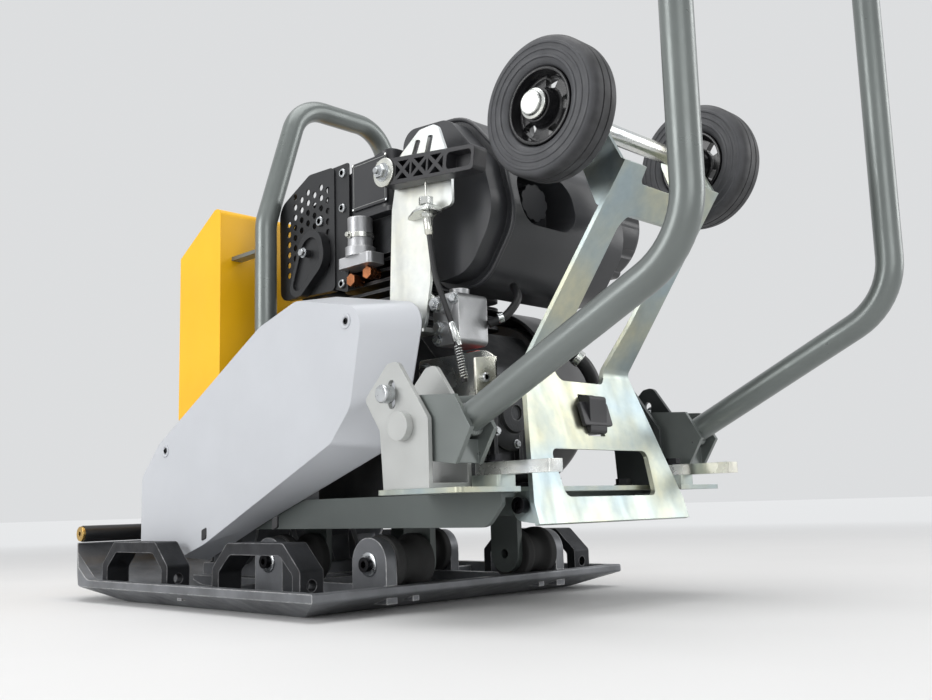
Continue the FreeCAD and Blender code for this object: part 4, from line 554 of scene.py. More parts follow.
@dataclass(frozen=True)
class Paint:
    """Powder coat: a faint orange peel, small tone changes and a painted highlight on its edges."""

    name: str
    colour: Colour
    roughness: float = 0.38
    metallic: float = 0.0
    peel: float = 700.0
    coat: float = 0.25

    def build(self) -> bpy.types.Material:
        """Builds the material."""
        graph = Graph(self.name)
        deep = tuple(part * 0.82 for part in self.colour)
        tone = graph.blend(graph.span(graph.noise(9.0, 4.0), (0.3, 0.7), (0.0, 1.0)), deep, self.colour)
        # Painted highlight: the edges are blended towards a lighter copy of the paint colour.
        edge = graph.edges(0.0012, 0.8, 0.97)
        bright = tuple(min(1.0, part * 1.35 + 0.02) for part in self.colour)
        colour = graph.blend(graph.math("MULTIPLY", edge, 0.6), tone, bright)
        rough = graph.span(graph.noise(35.0, 4.0), (0.3, 0.7), (self.roughness - 0.05, self.roughness + 0.07))
        graph.surface(colour, rough, self.metallic)
        graph.shader.inputs["Coat Weight"].default_value = self.coat
        graph.shader.inputs["Coat Roughness"].default_value = 0.25
        graph.relief(graph.noise(self.peel, 2.0), 0.12, 0.0002, 0.0009)
        return graph.material


@dataclass(frozen=True)
class Zinc:
    """Zinc plating: bright metal with bluish and yellowish clouds and fine rolling streaks."""

    name: str
    blue: Colour
    yellow: Colour
    roughness: float = 0.3
    streak: Point = (1.0, 1.0, 0.08)

    def build(self) -> bpy.types.Material:
        """Builds the material."""
        graph = Graph(self.name)
        clouds = graph.span(graph.noise(11.0, 5.0), (0.36, 0.62), (0.0, 1.0))
        tone = graph.blend(clouds, self.blue, self.yellow)
        dull = graph.span(graph.noise(120.0, 4.0), (0.3, 0.75), (0.0, 0.35))
        colour = graph.blend(dull, tone, tuple(part * 0.72 for part in self.blue))
        rough = graph.span(graph.noise(45.0, 5.0, self.streak), (0.3, 0.7),
                           (self.roughness - 0.08, self.roughness + 0.12))
        graph.surface(colour, rough, 0.95)
        graph.relief(graph.noise(260.0, 3.0, self.streak), 0.08, 0.0002, 0.0006)
        return graph.material


@dataclass(frozen=True)
class Moulded:
    """Moulded plastic or rubber: fine grain, slight tone changes, a painted highlight on the edges."""

    name: str
    colour: Colour
    roughness: float = 0.45
    grain: float = 900.0
    depth: float = 0.15
    vary: float = 0.12
    edge: float = 0.0012

    def build(self) -> bpy.types.Material:
        """Builds the material."""
        graph = Graph(self.name)
        deep = tuple(part * (1 - self.vary) for part in self.colour)
        pale = tuple(min(1.0, part * (1 + self.vary) + 0.004) for part in self.colour)
        tone = graph.ramp(graph.noise(7.0, 5.0), [(0.3, deep), (0.7, pale)])
        # Painted highlight: the edges are blended towards a lighter copy of the colour.
        edge = graph.math("MULTIPLY", graph.edges(0.0015, 0.75, 0.97), 0.35)
        colour = graph.blend(edge, tone, tuple(min(1.0, part * 1.5 + 0.02) for part in self.colour))
        rough = graph.span(graph.noise(24.0, 5.0), (0.3, 0.7), (self.roughness - 0.06, self.roughness + 0.08))
        graph.surface(colour, rough)
        graph.relief(graph.noise(self.grain, 2.0), self.depth, 0.0002, self.edge)
        return graph.material


@dataclass(frozen=True)
class Turned:
    """Turned or ground metal: tight tool lines round the X axis of the piece."""

    name: str
    colour: Colour
    roughness: float = 0.25
    centre: Point = (0.0, 0.0, 0.0)
    lines: float = 900.0

    def build(self) -> bpy.types.Material:
        """Builds the material."""
        graph = Graph(self.name)
        distance = graph.radius_from(self.centre)
        rings = graph.math("SINE", graph.math("MULTIPLY", distance, self.lines * 6.28), 0.0)
        tone = graph.blend(graph.span(graph.noise(30.0, 4.0), (0.3, 0.7), (0.0, 1.0)),
                           tuple(part * 0.75 for part in self.colour), self.colour)
        rough = graph.span(graph.noise(80.0, 3.0), (0.3, 0.7), (self.roughness - 0.07, self.roughness + 0.1))
        graph.surface(tone, rough, 1.0)
        graph.relief(rings, 0.05, 0.0001, 0.0005)
        return graph.material


@dataclass(frozen=True)
class WheelRubber:
    """Solid tyre: dark tread, a slightly paler side wall in rings, dust in the grooves."""

    name: str
    dark: Colour
    side: Colour
    centre: Point

    def build(self) -> bpy.types.Material:
        """Builds the material."""
        graph = Graph(self.name)
        distance = graph.radius_from(self.centre)
        band = graph.ramp(graph.span(distance, (0.036, 0.071), (0.0, 1.0)), [
            (0.0, self.dark), (0.12, self.side), (0.8, self.side), (0.95, self.dark),
        ])
        dust = graph.span(graph.noise(70.0, 5.0), (0.4, 0.75), (0.0, 0.3))
        colour = graph.blend(dust, band, tuple(part * 1.7 + 0.01 for part in self.side))
        rough = graph.span(graph.noise(50.0, 3.0), (0.3, 0.7), (0.48, 0.66))
        graph.surface(colour, rough)
        graph.relief(graph.noise(900.0, 2.0), 0.12, 0.0002, 0.0008)
        return graph.material


WHEEL_CENTRE = (0.0, 0.497, 0.484)


class Finish(Enum):
    """The finishes of this machine, each built once and shared by its pieces."""

    PLATE = CastIron("plate_cast_iron", linear(98, 100, 103), linear(130, 132, 136), linear(214, 214, 214),
                     metallic=0.45)
    LOOP = CastIron("carry_loop_cast", linear(36, 37, 39), linear(56, 57, 60), linear(150, 150, 152),
                    roughness=0.5)
    MOUNT = Moulded("mount_rubber", linear(30, 30, 32), 0.5, 600.0, 0.2, 0.2)
    HOSE = Moulded("hose_rubber", linear(26, 26, 28), 0.42, 500.0, 0.1)
    FRAME = Paint("frame_grey_green", linear(116, 122, 120), 0.32, 0.4)
    CONSOLE = Paint("console_grey_green", linear(86, 93, 91), 0.42, 0.25)
    BRACKET = Paint("bracket_light_grey", linear(188, 190, 188), 0.34, 0.3)
    # Painted shade: the right bracket's dark grey is a shaded copy of the light grey bracket paint.
    BRACKET_DARK = Paint("bracket_grey_painted_shade", linear(62, 66, 66), 0.38, 0.35)
    GUARD = Moulded("belt_guard_grey", linear(196, 199, 204), 0.42, 1100.0, 0.1, 0.04)
    TANK = Moulded("water_tank_yellow", linear(250, 188, 14), 0.4, 1000.0, 0.1, 0.06)
    RED = Moulded("cap_red", linear(190, 24, 20), 0.35, 900.0, 0.08)
    BLACK = Moulded("black_moulding", linear(34, 34, 37), 0.42, 1000.0, 0.2, 0.2)
    FUEL = Moulded("fuel_tank_black", linear(52, 53, 56), 0.36, 1300.0, 0.1, 0.1)
    COVER = Moulded("cover_black", linear(40, 41, 44), 0.4, 1300.0, 0.12, 0.1)
    HEAT = Paint("heat_black", linear(38, 39, 41), 0.42, 0.3, 1200.0, 0.1)
    BOLT_BLACK = Turned("bolt_black_oxide", linear(46, 46, 48), 0.32)
    ZINC = Zinc("zinc_sheet", linear(160, 174, 178), linear(188, 188, 166), 0.36)
    ZINC_BRIGHT = Zinc("zinc_bright", linear(215, 219, 220), linear(226, 224, 210), 0.22, (1.0, 1.0, 1.0))
    ZINC_BOLT = Turned("zinc_bolt", linear(200, 203, 205), 0.26)
    CONTROL = Zinc("zinc_control_sheet", linear(222, 226, 226), linear(226, 226, 214), 0.36)
    ALUMINIUM = CastIron("cast_aluminium", linear(150, 151, 153), linear(182, 183, 185),
                         linear(220, 220, 220), 500.0, 0.4)
    ENGINE = CastIron("engine_grey_casting", linear(50, 51, 53), linear(74, 75, 77), linear(130, 130, 130),
                      480.0, 0.5)
    COPPER = Turned("copper_plug", linear(214, 140, 96), 0.28)
    BRASS = Turned("brass_plug", linear(206, 170, 100), 0.3)
    PULLEY = Turned("pulley_iron", linear(120, 121, 124), 0.34, (0.0, 0.182, 0.244))
    STEEL = Turned("ground_steel", linear(180, 182, 184), 0.22, (0.0, -0.096, 0.1))
    BELT = Moulded("belt_rubber", linear(28, 28, 29), 0.55, 800.0, 0.3)
    TYRE = WheelRubber("tyre_rubber", linear(38, 38, 40), linear(66, 67, 70), WHEEL_CENTRE)
    RIM = Moulded("rim_black", linear(26, 26, 28), 0.22, 1400.0, 0.03, 0.1)
    PALE = Paint("marking_plate", linear(150, 152, 150), 0.35, 0.2, 900.0, 0.3)

    def material(self) -> bpy.types.Material:
        """The finish's material, built at its first use."""
        found = bpy.data.materials.get(self.value.name)
        return found or self.value.build()

    def slot(self) -> str:
        """The record's material slot that a piece of this finish belongs to."""
        return SLOTS[self]


SLOTS = {
    Finish.ALUMINIUM: "engine_alu", Finish.BELT: "belt_rubber", Finish.BLACK: "black_plastic",
    Finish.BOLT_BLACK: "black_bolt", Finish.BRASS: "brass", Finish.COVER: "black_plastic",
    Finish.ENGINE: "engine_alu", Finish.FRAME: "frame_paint", Finish.FUEL: "fuel_plastic",
    Finish.GUARD: "guard_plastic", Finish.HEAT: "black_steel", Finish.HOSE: "belt_rubber",
    Finish.PALE: "zinc", Finish.TYRE: "tyre", Finish.ZINC_BOLT: "zinc", Finish.ZINC_BRIGHT: "zinc",
}


@dataclass(frozen=True)
class Flex:
    """A stretch over which a soft piece passes from one body to another.

    Attributes:
        first: Body that the piece follows before the start.
        second: Body that the piece follows after the end.
        start: Where it begins to turn to the second body, in millimetres.
        end: Where it follows the second body only, in millimetres.
    """

    first: str
    second: str
    start: Point
    end: Point


@dataclass
class Workshop:
    """Puts finished pieces into the scene and dresses the CAD nodes."""

    nodes: dict[str, bpy.types.Object]

    def dress(self, finish: Finish, *names: str) -> None:
        """Gives CAD nodes a finish in place of their plain one."""
        for name in names:
            materials = self.nodes[name].data.materials
            materials.clear()
            materials.append(finish.material())

    def add(self, name: str, surface: Surface, body: str | Flex, finish: Finish,
            shading: Shading = Shading.BY_ANGLE, bevel: float = 0.0) -> bpy.types.Object:
        """Makes a piece from a surface, in place, riding on a body, or with its transform baked when given a
        stretch between two.

        Args:
            name: The piece's name.
            surface: Its points and faces.
            body: The CAD body that carries it, or the stretch where it passes from one to another.
            finish: Its finish.
            shading: How its faces are shaded.
            bevel: Width of the edge rounding in millimetres, or 0.

        Returns:
            The new object.
        """
        mesh = bpy.data.meshes.new(name)
        mesh.from_pydata(surface.points.tolist(), [], surface.faces)
        mesh.validate()
        mesh.update()
        if shading is not Shading.FLAT:
            mesh.polygons.foreach_set("use_smooth", [True] * len(mesh.polygons))
        if shading is Shading.BY_ANGLE:
            mesh.set_sharp_from_angle(angle=math.radians(38))
        piece = bpy.data.objects.new(name, mesh)
        bpy.context.scene.collection.objects.link(piece)
        mesh.materials.append(finish.material())
        if bevel > 0:
            rounding = piece.modifiers.new("Rounding", "BEVEL")
            rounding.width = bevel * MM
            rounding.segments = 2
            rounding.limit_method = "ANGLE"
            rounding.angle_limit = math.radians(35)
            rounding.harden_normals = True
        if isinstance(body, Flex):
            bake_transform(piece)
        else:
            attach(piece, body)
        LOG.info("%s: %d faces on %s", name, len(surface.faces), body)
        return piece


@dataclass
class BaseUnit:
    """The base plate with its mounts, carry loops, exciter and sprinkler bar."""

    shop: Workshop
    body: str = "base_unit"
    lug_face: float = 145.9
    mount_z: float = 50.0
    mount_y: tuple[float, float] = (48.0, 234.0)
    hose_end: Point = (60.0, -270.0, 98.0)

    def dress(self) -> None:
        """Gives the CAD nodes of the base their finishes."""
        self.shop.dress(Finish.PLATE, "base_plate", "exciter_housing", "exciter_end_covers")
        self.shop.dress(Finish.LOOP, "carry_handles_left", "carry_handles_right")
        self.shop.dress(Finish.MOUNT, "shock_mounts")
        self.shop.dress(Finish.BOLT_BLACK, "base_bolts")
        self.shop.dress(Finish.HEAT, "sprinkler_bar")
        self.shop.dress(Finish.BRASS, "sprinkler_plugs")
        self.shop.dress(Finish.STEEL, "exciter_bearings", "exciter_shaft")
        self.shop.dress(Finish.PULLEY, "exciter_pulley")

    def build(self) -> None:
        """Adds the wear washers under the mount bolts and the clamp of the hose's lower end."""
        washer = lathe([(6.0, 0), (13.0, 0), (13.0, 1.6), (12.2, 2.2), (6.0, 2.2)], 40, closed=True)
        sides = [spread(washer, axis, *[(x, y, self.mount_z) for y in self.mount_y])
                 for axis, x in ((Axis.X, self.lug_face), (Axis.BACK_X, -self.lug_face))]
        self.shop.add("mount_washers", gather(sides), self.body, Finish.ZINC_BOLT)
        x, y, z = self.hose_end
        clamp = spread(ring(9.0, 10.6, 0, 7), Axis.Z, self.hose_end)
        screw = spread(hex_bolt(3.2, 4), Axis.X, (x + 10.4, y, z + 3.5))
        self.shop.add("sprinkler_clamp", clamp + screw, self.body, Finish.ZINC_BRIGHT)


@dataclass
class Engine:
    """The engine, its silencer and its tanks."""

    shop: Workshop
    body: str = "console_unit"
    label_face: float = 100.1
    label_low: tuple[float, float] = (158.0, 464.0)
    label_high: tuple[float, float] = (222.0, 523.0)
    shield_levels: tuple[float, float] = (100.6, 102.8)
    seam_x: float = 66.4
    timing_centre: Point = (-20.0, 292.0, 214.0)
    timing_bolt_circle: float = 36.0
    crank: tuple[float, float] = (182.0, 244.0)
    starter_face: float = -195.9
    starter_hub_face: float = -207.9
    starter_bolt_circle: float = 60.0

    def dress(self) -> None:
        """Gives the CAD nodes of the engine their finishes."""
        self.shop.dress(Finish.ENGINE, "crankcase", "cylinder_head")
        self.shop.dress(Finish.ALUMINIUM, "oil_filler_neck", "injection_pump")
        self.shop.dress(Finish.COVER, "rocker_cover", "air_filter_housing", "fan_housing")
        self.shop.dress(Finish.HEAT, "muffler", "muffler_guard", "exhaust_outlet")
        self.shop.dress(Finish.FUEL, "fuel_tank", "fuel_cap")
        self.shop.dress(Finish.COPPER, "copper_plugs")
        self.shop.dress(Finish.STEEL, "crankshaft")
        self.shop.dress(Finish.PULLEY, "flywheel", "clutch_pulley")
        self.shop.dress(Finish.BELT, "drive_belt")
        self.shop.dress(Finish.BLACK, "recoil_grip")
        self.shop.dress(Finish.RED, "oil_dipstick")

    def build(self) -> None:
        """Adds the bare label, the shield, the tank's bead, pipes and hoses, the covers and the fasteners."""
        self.label()
        self.shield()
        self.fuel_system()
        self.fuel_fittings()
        self.pump_and_timing()
        self.starter()

    def label(self) -> None:
        """A bare data plate on the rocker cover: black, with a pale frame, a pale field and four rivets."""
        (low_y, low_z), (high_y, high_z) = self.label_low, self.label_high
        top = self.label_face + 0.8
        back = plate(rounded(box(low_y, low_z, high_y, high_z), 3), self.label_face, top)
        self.shop.add("label_back", back, self.body, Finish.COVER, bevel=0.2)
        inset, line = 3.0, 3.8
        bars = [
            (low_y + inset, low_z + inset, high_y - inset, low_z + line),
            (low_y + inset, high_z - line, high_y - inset, high_z - inset),
            (low_y + inset, low_z + inset, low_y + line, high_z - inset),
            (high_y - line, low_z + inset, high_y - inset, high_z - inset),
            (high_y - 17, high_z - 15, high_y - 7, high_z - 8),
        ]
        marks = gather([plate(box(*bar), top, top + 0.2) for bar in bars])
        self.shop.add("label_lines", marks, self.body, Finish.PALE, Shading.FLAT)
        rivet = lathe([(0.01, 0), (1.8, 0), (1.5, 0.8), (0.7, 1.2), (0.01, 1.25)], 20)
        spots = [(top, y, z) for y in (low_y + 1.9, high_y - 1.9) for z in (low_z + 1.9, high_z - 1.9)]
        self.shop.add("label_rivets", spread(rivet, Axis.X, *spots), self.body, Finish.ZINC_BRIGHT)

    def shield(self) -> None:
        """The black sheet behind the silencer guard, with the guard's screws."""
        outline = rounded([(112, 378), (150, 366), (154, 452), (154, 528), (112, 528)], 4)
        self.shop.add("heat_shield", plate(outline, *self.shield_levels), self.body, Finish.HEAT, bevel=0.5)
        face = self.shield_levels[1]
        screws = [
            spread(socket_bolt(5.6, 3.4), Axis.X, (face, 143, 472), (face, 141, 378), (face, 144, 516)),
            spread(socket_bolt(6.4, 3.6), Axis.X, (105, 101, 464)),
            spread(hex_bolt(5.0, 5.5), Axis.X, (122, 88, 424)),
        ]
        self.shop.add("guard_screws", gather(screws), self.body, Finish.ZINC_BOLT)

    def fuel_system(self) -> None:
        """The seam bead of the tank, the injection pipe and the two hoses."""
        corners = [(236, 406), (280, 346), (346, 350), (392, 412), (376, 486), (322, 546), (236, 552)]
        outline = rounded(corners, 24, 8)
        seam = np.array([(self.seam_x, y, z) for y, z in outline + outline[:1]]) * MM
        self.shop.add("tank_seam", tube(seam, 2.6, 10), self.body, Finish.FUEL, Shading.SMOOTH)
        pipe = route((116, 322, 322), (115, 306, 336), (110, 276, 358), (101, 246, 382), (88, 228, 392))
        self.shop.add("injection_pipe", tube(pipe, 2.8, 14), self.body, Finish.ZINC_BRIGHT, Shading.SMOOTH)
        feed = route((28, 350, 350), (36, 362, 332), (52, 358, 312), (62, 342, 304))
        self.shop.add("fuel_hose", tube(feed, 4.6, 16), self.body, Finish.HOSE, Shading.SMOOTH)
        drain = route((-80, 330, 304), (-84, 334, 288), (-100, 346, 270), (-110, 348, 244), (-100, 326, 222),
                      (-84, 292, 214))
        self.shop.add("breather_hose", tube(drain, 8.5, 20), self.body, Finish.HOSE, Shading.SMOOTH)

    def fuel_fittings(self) -> None:
        """The filter under the tank and the clamps of the hoses."""
        profile = [(0.01, 0), (9, 0), (13, 3), (13.5, 8), (13.5, 30), (15.5, 31), (15.5, 38), (13, 40),
                   (11, 47), (0.01, 47)]
        bowl = spread(lathe(profile, 36), Axis.Z, (-80, 330, 302))
        self.shop.add("fuel_filter", bowl, self.body, Finish.ALUMINIUM)
        wide = ring(8.4, 10.2, 0, 8)
        bands = [
            wide.turned((-0.62, 0.46, -0.63), at(-90, 339, 282)),
            wide.turned((0.4, -0.9, -0.2), at(-88, 300, 216)),
            ring(4.5, 5.9, 0, 6).turned((0.75, -0.6, -0.25), at(54, 356, 311)),
        ]
        self.shop.add("hose_clamps", gather(bands), self.body, Finish.ZINC_BRIGHT)

    def pump_and_timing(self) -> None:
        """Nuts and bolts on the pump, the timing cover on the crankcase and the band on the filler neck."""
        nut = lathe([(0.01, 0), (8, 0), (8, 7), (7.2, 8), (4, 8), (4, 11), (0.01, 11)], 6)
        nuts = [
            spread(nut, Axis.X, (118, 322, 322)),
            spread(hex_bolt(6, 5), Axis.X, (114, 318, 298)),
            spread(hex_bolt(5, 4.5), Axis.X, (106, 307, 328), (106, 334, 329), (106, 307, 287)),
        ]
        self.shop.add("pump_bolts", gather(nuts), self.body, Finish.ZINC_BOLT)
        profile = [(0.01, 0), (44, 0), (44, 5), (41, 7), (24, 8), (22, 12), (9, 13), (8, 10), (0.01, 10)]
        cover = spread(lathe(profile, 56), Axis.Y, self.timing_centre)
        self.shop.add("timing_cover", cover, self.body, Finish.ENGINE)
        x, y, z = self.timing_centre
        reach = self.timing_bolt_circle
        angles = np.linspace(0, 2 * math.pi, 6, endpoint=False) + 0.4
        spots = [(x + reach * math.cos(angle), y + 7, z + reach * math.sin(angle)) for angle in angles]
        self.shop.add("cover_bolts", spread(hex_bolt(4.2, 4), Axis.Y, *spots), self.body, Finish.ZINC_BOLT)
        band = spread(ring(15.0, 16.6, 0, 6, 48), Axis.Z, (104, 176, 426))
        screw = spread(hex_bolt(3.4, 5), Axis.X, (120.2, 176, 429))
        self.shop.add("neck_band", band + screw, self.body, Finish.ZINC_BRIGHT)

    def starter(self) -> None:
        """Three ribs on the hub of the recoil starter and four bolts on its face."""
        y, z = self.crank
        ribs = gather([ring(14 + 11 * k, 17 + 11 * k, 0, 1.6, 64) for k in range(3)])
        hub = spread(ribs, Axis.BACK_X, (self.starter_hub_face, y, z))
        self.shop.add("starter_rings", hub, self.body, Finish.COVER)
        reach = self.starter_bolt_circle
        spots = [(self.starter_face, y + reach * math.cos(angle), z + reach * math.sin(angle))
                 for angle in (0.59, 2.16, 3.73, 5.3)]
        bolts = spread(hex_bolt(5, 5), Axis.BACK_X, *spots)
        self.shop.add("starter_bolts", bolts, self.body, Finish.ZINC_BOLT)


@dataclass
class Controls:
    """The control sheet with its throttle lever and cable."""

    shop: Workshop
    body: str = "console_unit"
    lever_face: float = 145.0
    pivot: tuple[float, float] = (269.0, 476.0)
    cable_top: tuple[float, float] = (138.0, 327.0)
    wire_levels: tuple[float, float] = (434.0, 454.0)
    foot_face: float = 95.2

    def dress(self) -> None:
        """Gives the CAD nodes of the controls their finishes."""
        self.shop.dress(Finish.CONTROL, "control_bracket")
        self.shop.dress(Finish.BLACK, "throttle_lever")
        self.shop.dress(Finish.HOSE, "throttle_cable")
        self.shop.dress(Finish.ZINC_BRIGHT, "cable_fittings")

    def build(self) -> None:
        """Adds the lever's washer and bolt, the cable's end pieces and the bracket at its foot."""
        self.lever()
        self.cable()
        self.foot()

    def lever(self) -> None:
        """The washer, bolt and stud on the lever's pivot, which turn with it."""
        face = self.lever_face
        washer = spread(ring(4.0, 16.4, 0, 2.6, 56), Axis.X, (face, *self.pivot))
        self.shop.add("lever_washer", washer, "throttle", Finish.ZINC_BRIGHT)
        bolt = spread(hex_bolt(8.4, 7.5, 0.2), Axis.X, (face + 2.6, *self.pivot))
        stud = lathe([(0.01, 0), (3.6, 0), (3.6, 4), (3.0, 4.8), (0.01, 4.8)], 24)
        both = bolt + spread(stud, Axis.X, (face + 10, *self.pivot))
        self.shop.add("lever_bolt", both, "throttle", Finish.ZINC_BOLT)

    def cable(self) -> None:
        """The cable's ferrules and nut, the wire up to the lever, the return spring and the tab."""
        x, y = self.cable_top
        sleeve = lathe([(0.01, 0), (3.2, 0), (4.6, 2), (4.6, 20), (3.9, 21), (3.9, 26), (0.01, 26)], 28)
        nut = lathe([(0.01, 0), (6.4, 0), (6.4, 4), (5.8, 4.8), (0.01, 4.8)], 6)
        parts = [sleeve.turned((4, -6, 70), at(136.4, 329.4, 394)), spread(nut, Axis.Z, (x, y, 413.6)),
                 sleeve.turned((-14, 10, -60), at(120.6, 343.0, 300))]
        self.shop.add("cable_ferrules", gather(parts), self.body, Finish.ZINC_BRIGHT)
        low, high = self.wire_levels
        wire = tube(route((x, y, low), (x, y, (low + high) / 2), (x, y, high)), 0.9, 10)
        bend = Flex("console_unit", "throttle", (x, y, low), (x, y, high))
        self.shop.add("cable_wire", wire, bend, Finish.ZINC_BRIGHT, Shading.SMOOTH)
        spring = coil((112.4, 351.6, 240), (116.2, 347.0, 274), 3.9, 0.6, 12)
        self.shop.add("cable_spring", spring, self.body, Finish.ZINC_BRIGHT, Shading.SMOOTH)
        outline = rounded([(122, 288), (130, 288), (146, 316), (146, 337), (122, 337)], 4)
        tab = plate(outline, 420.4, 422.9, "XY")
        self.shop.add("cable_tab", tab, self.body, Finish.ZINC_BRIGHT, bevel=0.5)

    def foot(self) -> None:
        """The bracket at the cable's foot, folded from three sheets, and the bolts of the controls."""
        face, sheet = self.foot_face, 3.0
        inner = face - sheet
        side = plate(rounded([(264, 214), (380, 214), (380, 262), (366, 270), (264, 270)], 6), inner, face)
        back = plate([(inner, 214), (124, 214), (124, 258), (inner, 262)][::-1], 377, 380, "XZ")
        floor = plate(box(inner, 330, 124, 380), 214, 217, "XY")
        self.shop.add("cable_bracket", gather([side, back, floor]), self.body, Finish.ZINC_BRIGHT, bevel=0.6)
        bolts = [
            spread(hex_bolt(6.5, 5.5), Axis.X, (face, 276, 258), (face, 276, 226)),
            spread(hex_bolt(6.0, 5.0), Axis.X, (122, 262, 312), (122, 292, 312)),
            spread(socket_bolt(5.0, 4.0), Axis.Y, (112, 380, 238)),
        ]
        self.shop.add("control_bolts", gather(bolts), self.body, Finish.ZINC_BOLT)


@dataclass
class Console:
    """The console sheet, the belt drive and its guard, the water tank and the lifting frame."""

    shop: Workshop
    body: str = "console_unit"
    guard_face: float = 191.9
    guard_screws: tuple[tuple[float, float], ...] = ((256.0, 306.0), (-116.0, 190.0))
    guard_clips: tuple[tuple[float, float], ...] = ((128.0, 96.0), (-20.0, 84.0))
    exciter: tuple[float, float] = (-96.0, 100.0)
    crank: tuple[float, float] = (182.0, 244.0)
    pulley_radii: tuple[float, float] = (35.0, 62.0)
    belt_x: float = 168.5
    belt_section: tuple[tuple[float, float], ...] = (
        (0.0, -6.5), (0.0, 6.5), (-1.5, 6.5), (-9.0, 4.6), (-9.0, -4.6), (-1.5, -6.5),
    )
    tap: Point = (60.0, -176.0, 206.0)
    tank_underside: float = 251.8
    tank_slope: Point = (0.0, -0.689, -0.725)

    def dress(self) -> None:
        """Gives the CAD nodes of the console their finishes."""
        self.shop.dress(Finish.CONSOLE, "console_frame")
        self.shop.dress(Finish.FRAME, "lifting_frame")
        self.shop.dress(Finish.GUARD, "belt_guard")
        self.shop.dress(Finish.TANK, "water_tank")
        self.shop.dress(Finish.RED, "water_cap")
        self.shop.dress(Finish.BRASS, "water_tap_lever")
        self.shop.dress(Finish.HOSE, "water_hose")
        self.shop.dress(Finish.ZINC, "rear_cross_plate")
        self.shop.dress(Finish.ZINC_BRIGHT, "stop_bars")
        self.shop.dress(Finish.BOLT_BLACK, "console_bolts")

    def build(self) -> None:
        """Adds the belt, the hose and the tap body, and the belt guard's dimples, screws and clips."""
        self.belt()
        self.hose()
        self.tap_body()
        self.guard()

    def guard(self) -> None:
        """The dimples round the guard's two screws, the screws and two clips at its lower edge."""
        spots = [(self.guard_face, y, z) for y, z in self.guard_screws]
        dimple = lathe([(3.4, 0), (8.6, 0), (8.4, 1.0), (7.2, 1.3), (5.6, 0.5), (3.4, 0.3)], 36, closed=True)
        dimples = spread(dimple, Axis.X, *spots)
        self.shop.add("guard_dimples", dimples, self.body, Finish.GUARD, Shading.SMOOTH)
        screws = spread(socket_bolt(3.6, 1.2), Axis.X, *spots)
        self.shop.add("guard_face_screws", screws, self.body, Finish.BOLT_BLACK)
        outlines = [rounded([(y - 5, z - 8), (y + 5, z - 5), (y + 5, z + 8), (y - 5, z + 5)], 2)
                    for y, z in self.guard_clips]
        clips = gather([plate(outline, 190.5, 193.2) for outline in outlines])
        self.shop.add("guard_clips", clips, self.body, Finish.BLACK, bevel=0.5)

    def tap_body(self) -> None:
        """The tap between the tank's underside and the hose: flange, inlet, nut, valve block and hose barb."""
        x, y, low = self.tap
        profile = [(0.01, -8), (9, -8), (9, -0.5), (15, -0.5), (15, 3), (14.4, 3.6), (0.01, 3.6)]
        flange = lathe(profile, 40).turned(self.tank_slope, at(x, y, self.tank_underside))
        inlet = lathe([(0.01, 0), (8, 0), (8, 26), (0.01, 26)], 32)
        nut = lathe([(0.01, 0), (11.2, 0), (11.2, 6), (10.4, 7), (0.01, 7)], 6)
        barb = lathe([(0.01, 0), (6.4, 0), (7.2, 6), (8.3, 6.4), (8.3, 12.2), (0.01, 12.2)], 32)
        block = plate(rounded(box(x - 12, y - 11, x + 25, y + 11), 4), low + 12, low + 25, "XY")
        parts = [flange, spread(inlet, Axis.Z, (x, y, low + 24)), spread(nut, Axis.Z, (x, y, low + 25)),
                 spread(barb, Axis.Z, self.tap), block]
        self.shop.add("water_tap_body", gather(parts), self.body, Finish.BRASS, bevel=0.5)

    def belt(self) -> None:
        """The V-belt: its section follows two arcs and their tangents.

        At angle t from the line of centres, the outer face is at centre + radius (cos t, sin t). The arc
        round the large pulley runs from q to -q and the one round the small pulley from -q to q - 360
        degrees, where q is 90 degrees + asin((R - r) / distance).
        """
        small, large = np.array(self.exciter), np.array(self.crank)
        radius_small, radius_large = self.pulley_radii
        distance = float(np.linalg.norm(large - small))
        along = (large - small) / distance
        up = np.array([-along[1], along[0]])
        lean = math.pi / 2 + math.asin((radius_large - radius_small) / distance)
        stretch = np.linspace(0, 1, 12, endpoint=False)[1:, None]
        normals, centres, reach = [], [], []
        for turn, centre, radius, after, far in (
                (np.linspace(lean, -lean, 40), large, radius_large, small, radius_small),
                (np.linspace(-lean, lean - 2 * math.pi, 32), small, radius_small, large, radius_large)):
            normal = np.outer(np.cos(turn), along) + np.outer(np.sin(turn), up)
            normals += [normal, np.repeat(normal[-1:], len(stretch), 0)]
            centres += [np.repeat(centre[None], len(normal), 0), centre + stretch * (after - centre)]
            reach += [np.full((len(normal), 1), radius), radius + stretch * (far - radius)]
        normal, centre, radius = np.vstack(normals), np.vstack(centres), np.vstack(reach)
        level = np.ones(len(normal))
        rows = [np.column_stack([level * (self.belt_x + side), centre + normal * (radius + depth)])
                for depth, side in self.belt_section]
        surface = grid(np.stack(rows, 1) * MM, wrap_u=True, wrap_v=True)
        bend = Flex("base_unit", "console_unit", (self.belt_x, -70, 113), (self.belt_x, 130, 217))
        piece = self.shop.add("drive_belt_vee", surface, bend, Finish.BELT)
        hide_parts("drive_belt")

    def hose(self) -> None:
        """The water hose on a smooth path from the sprinkler bar to the tap."""
        path = route((60, -270, 97.6), (60, -269, 110), (60, -258, 127), (60, -232, 136.5), (60, -205, 146),
                     (60, -187, 163), (60, -179, 186), (60, -176, 211.8))
        bend = Flex("base_unit", "console_unit", (60, -262, 118), (60, -180, 178))
        piece = self.shop.add("water_hose_rubber", tube(path, 8.6, 28), bend, Finish.HOSE, Shading.SMOOTH)
        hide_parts("water_hose")
        x, y, low = self.tap
        clamp = spread(ring(8.5, 10.2, 0, 7), Axis.Z, (x, y, low - 3))
        screw = spread(hex_bolt(3.0, 4), Axis.X, (x + 10.2, y, low + 0.5))
        self.shop.add("tank_hose_clamp", clamp + screw, self.body, Finish.ZINC_BRIGHT)


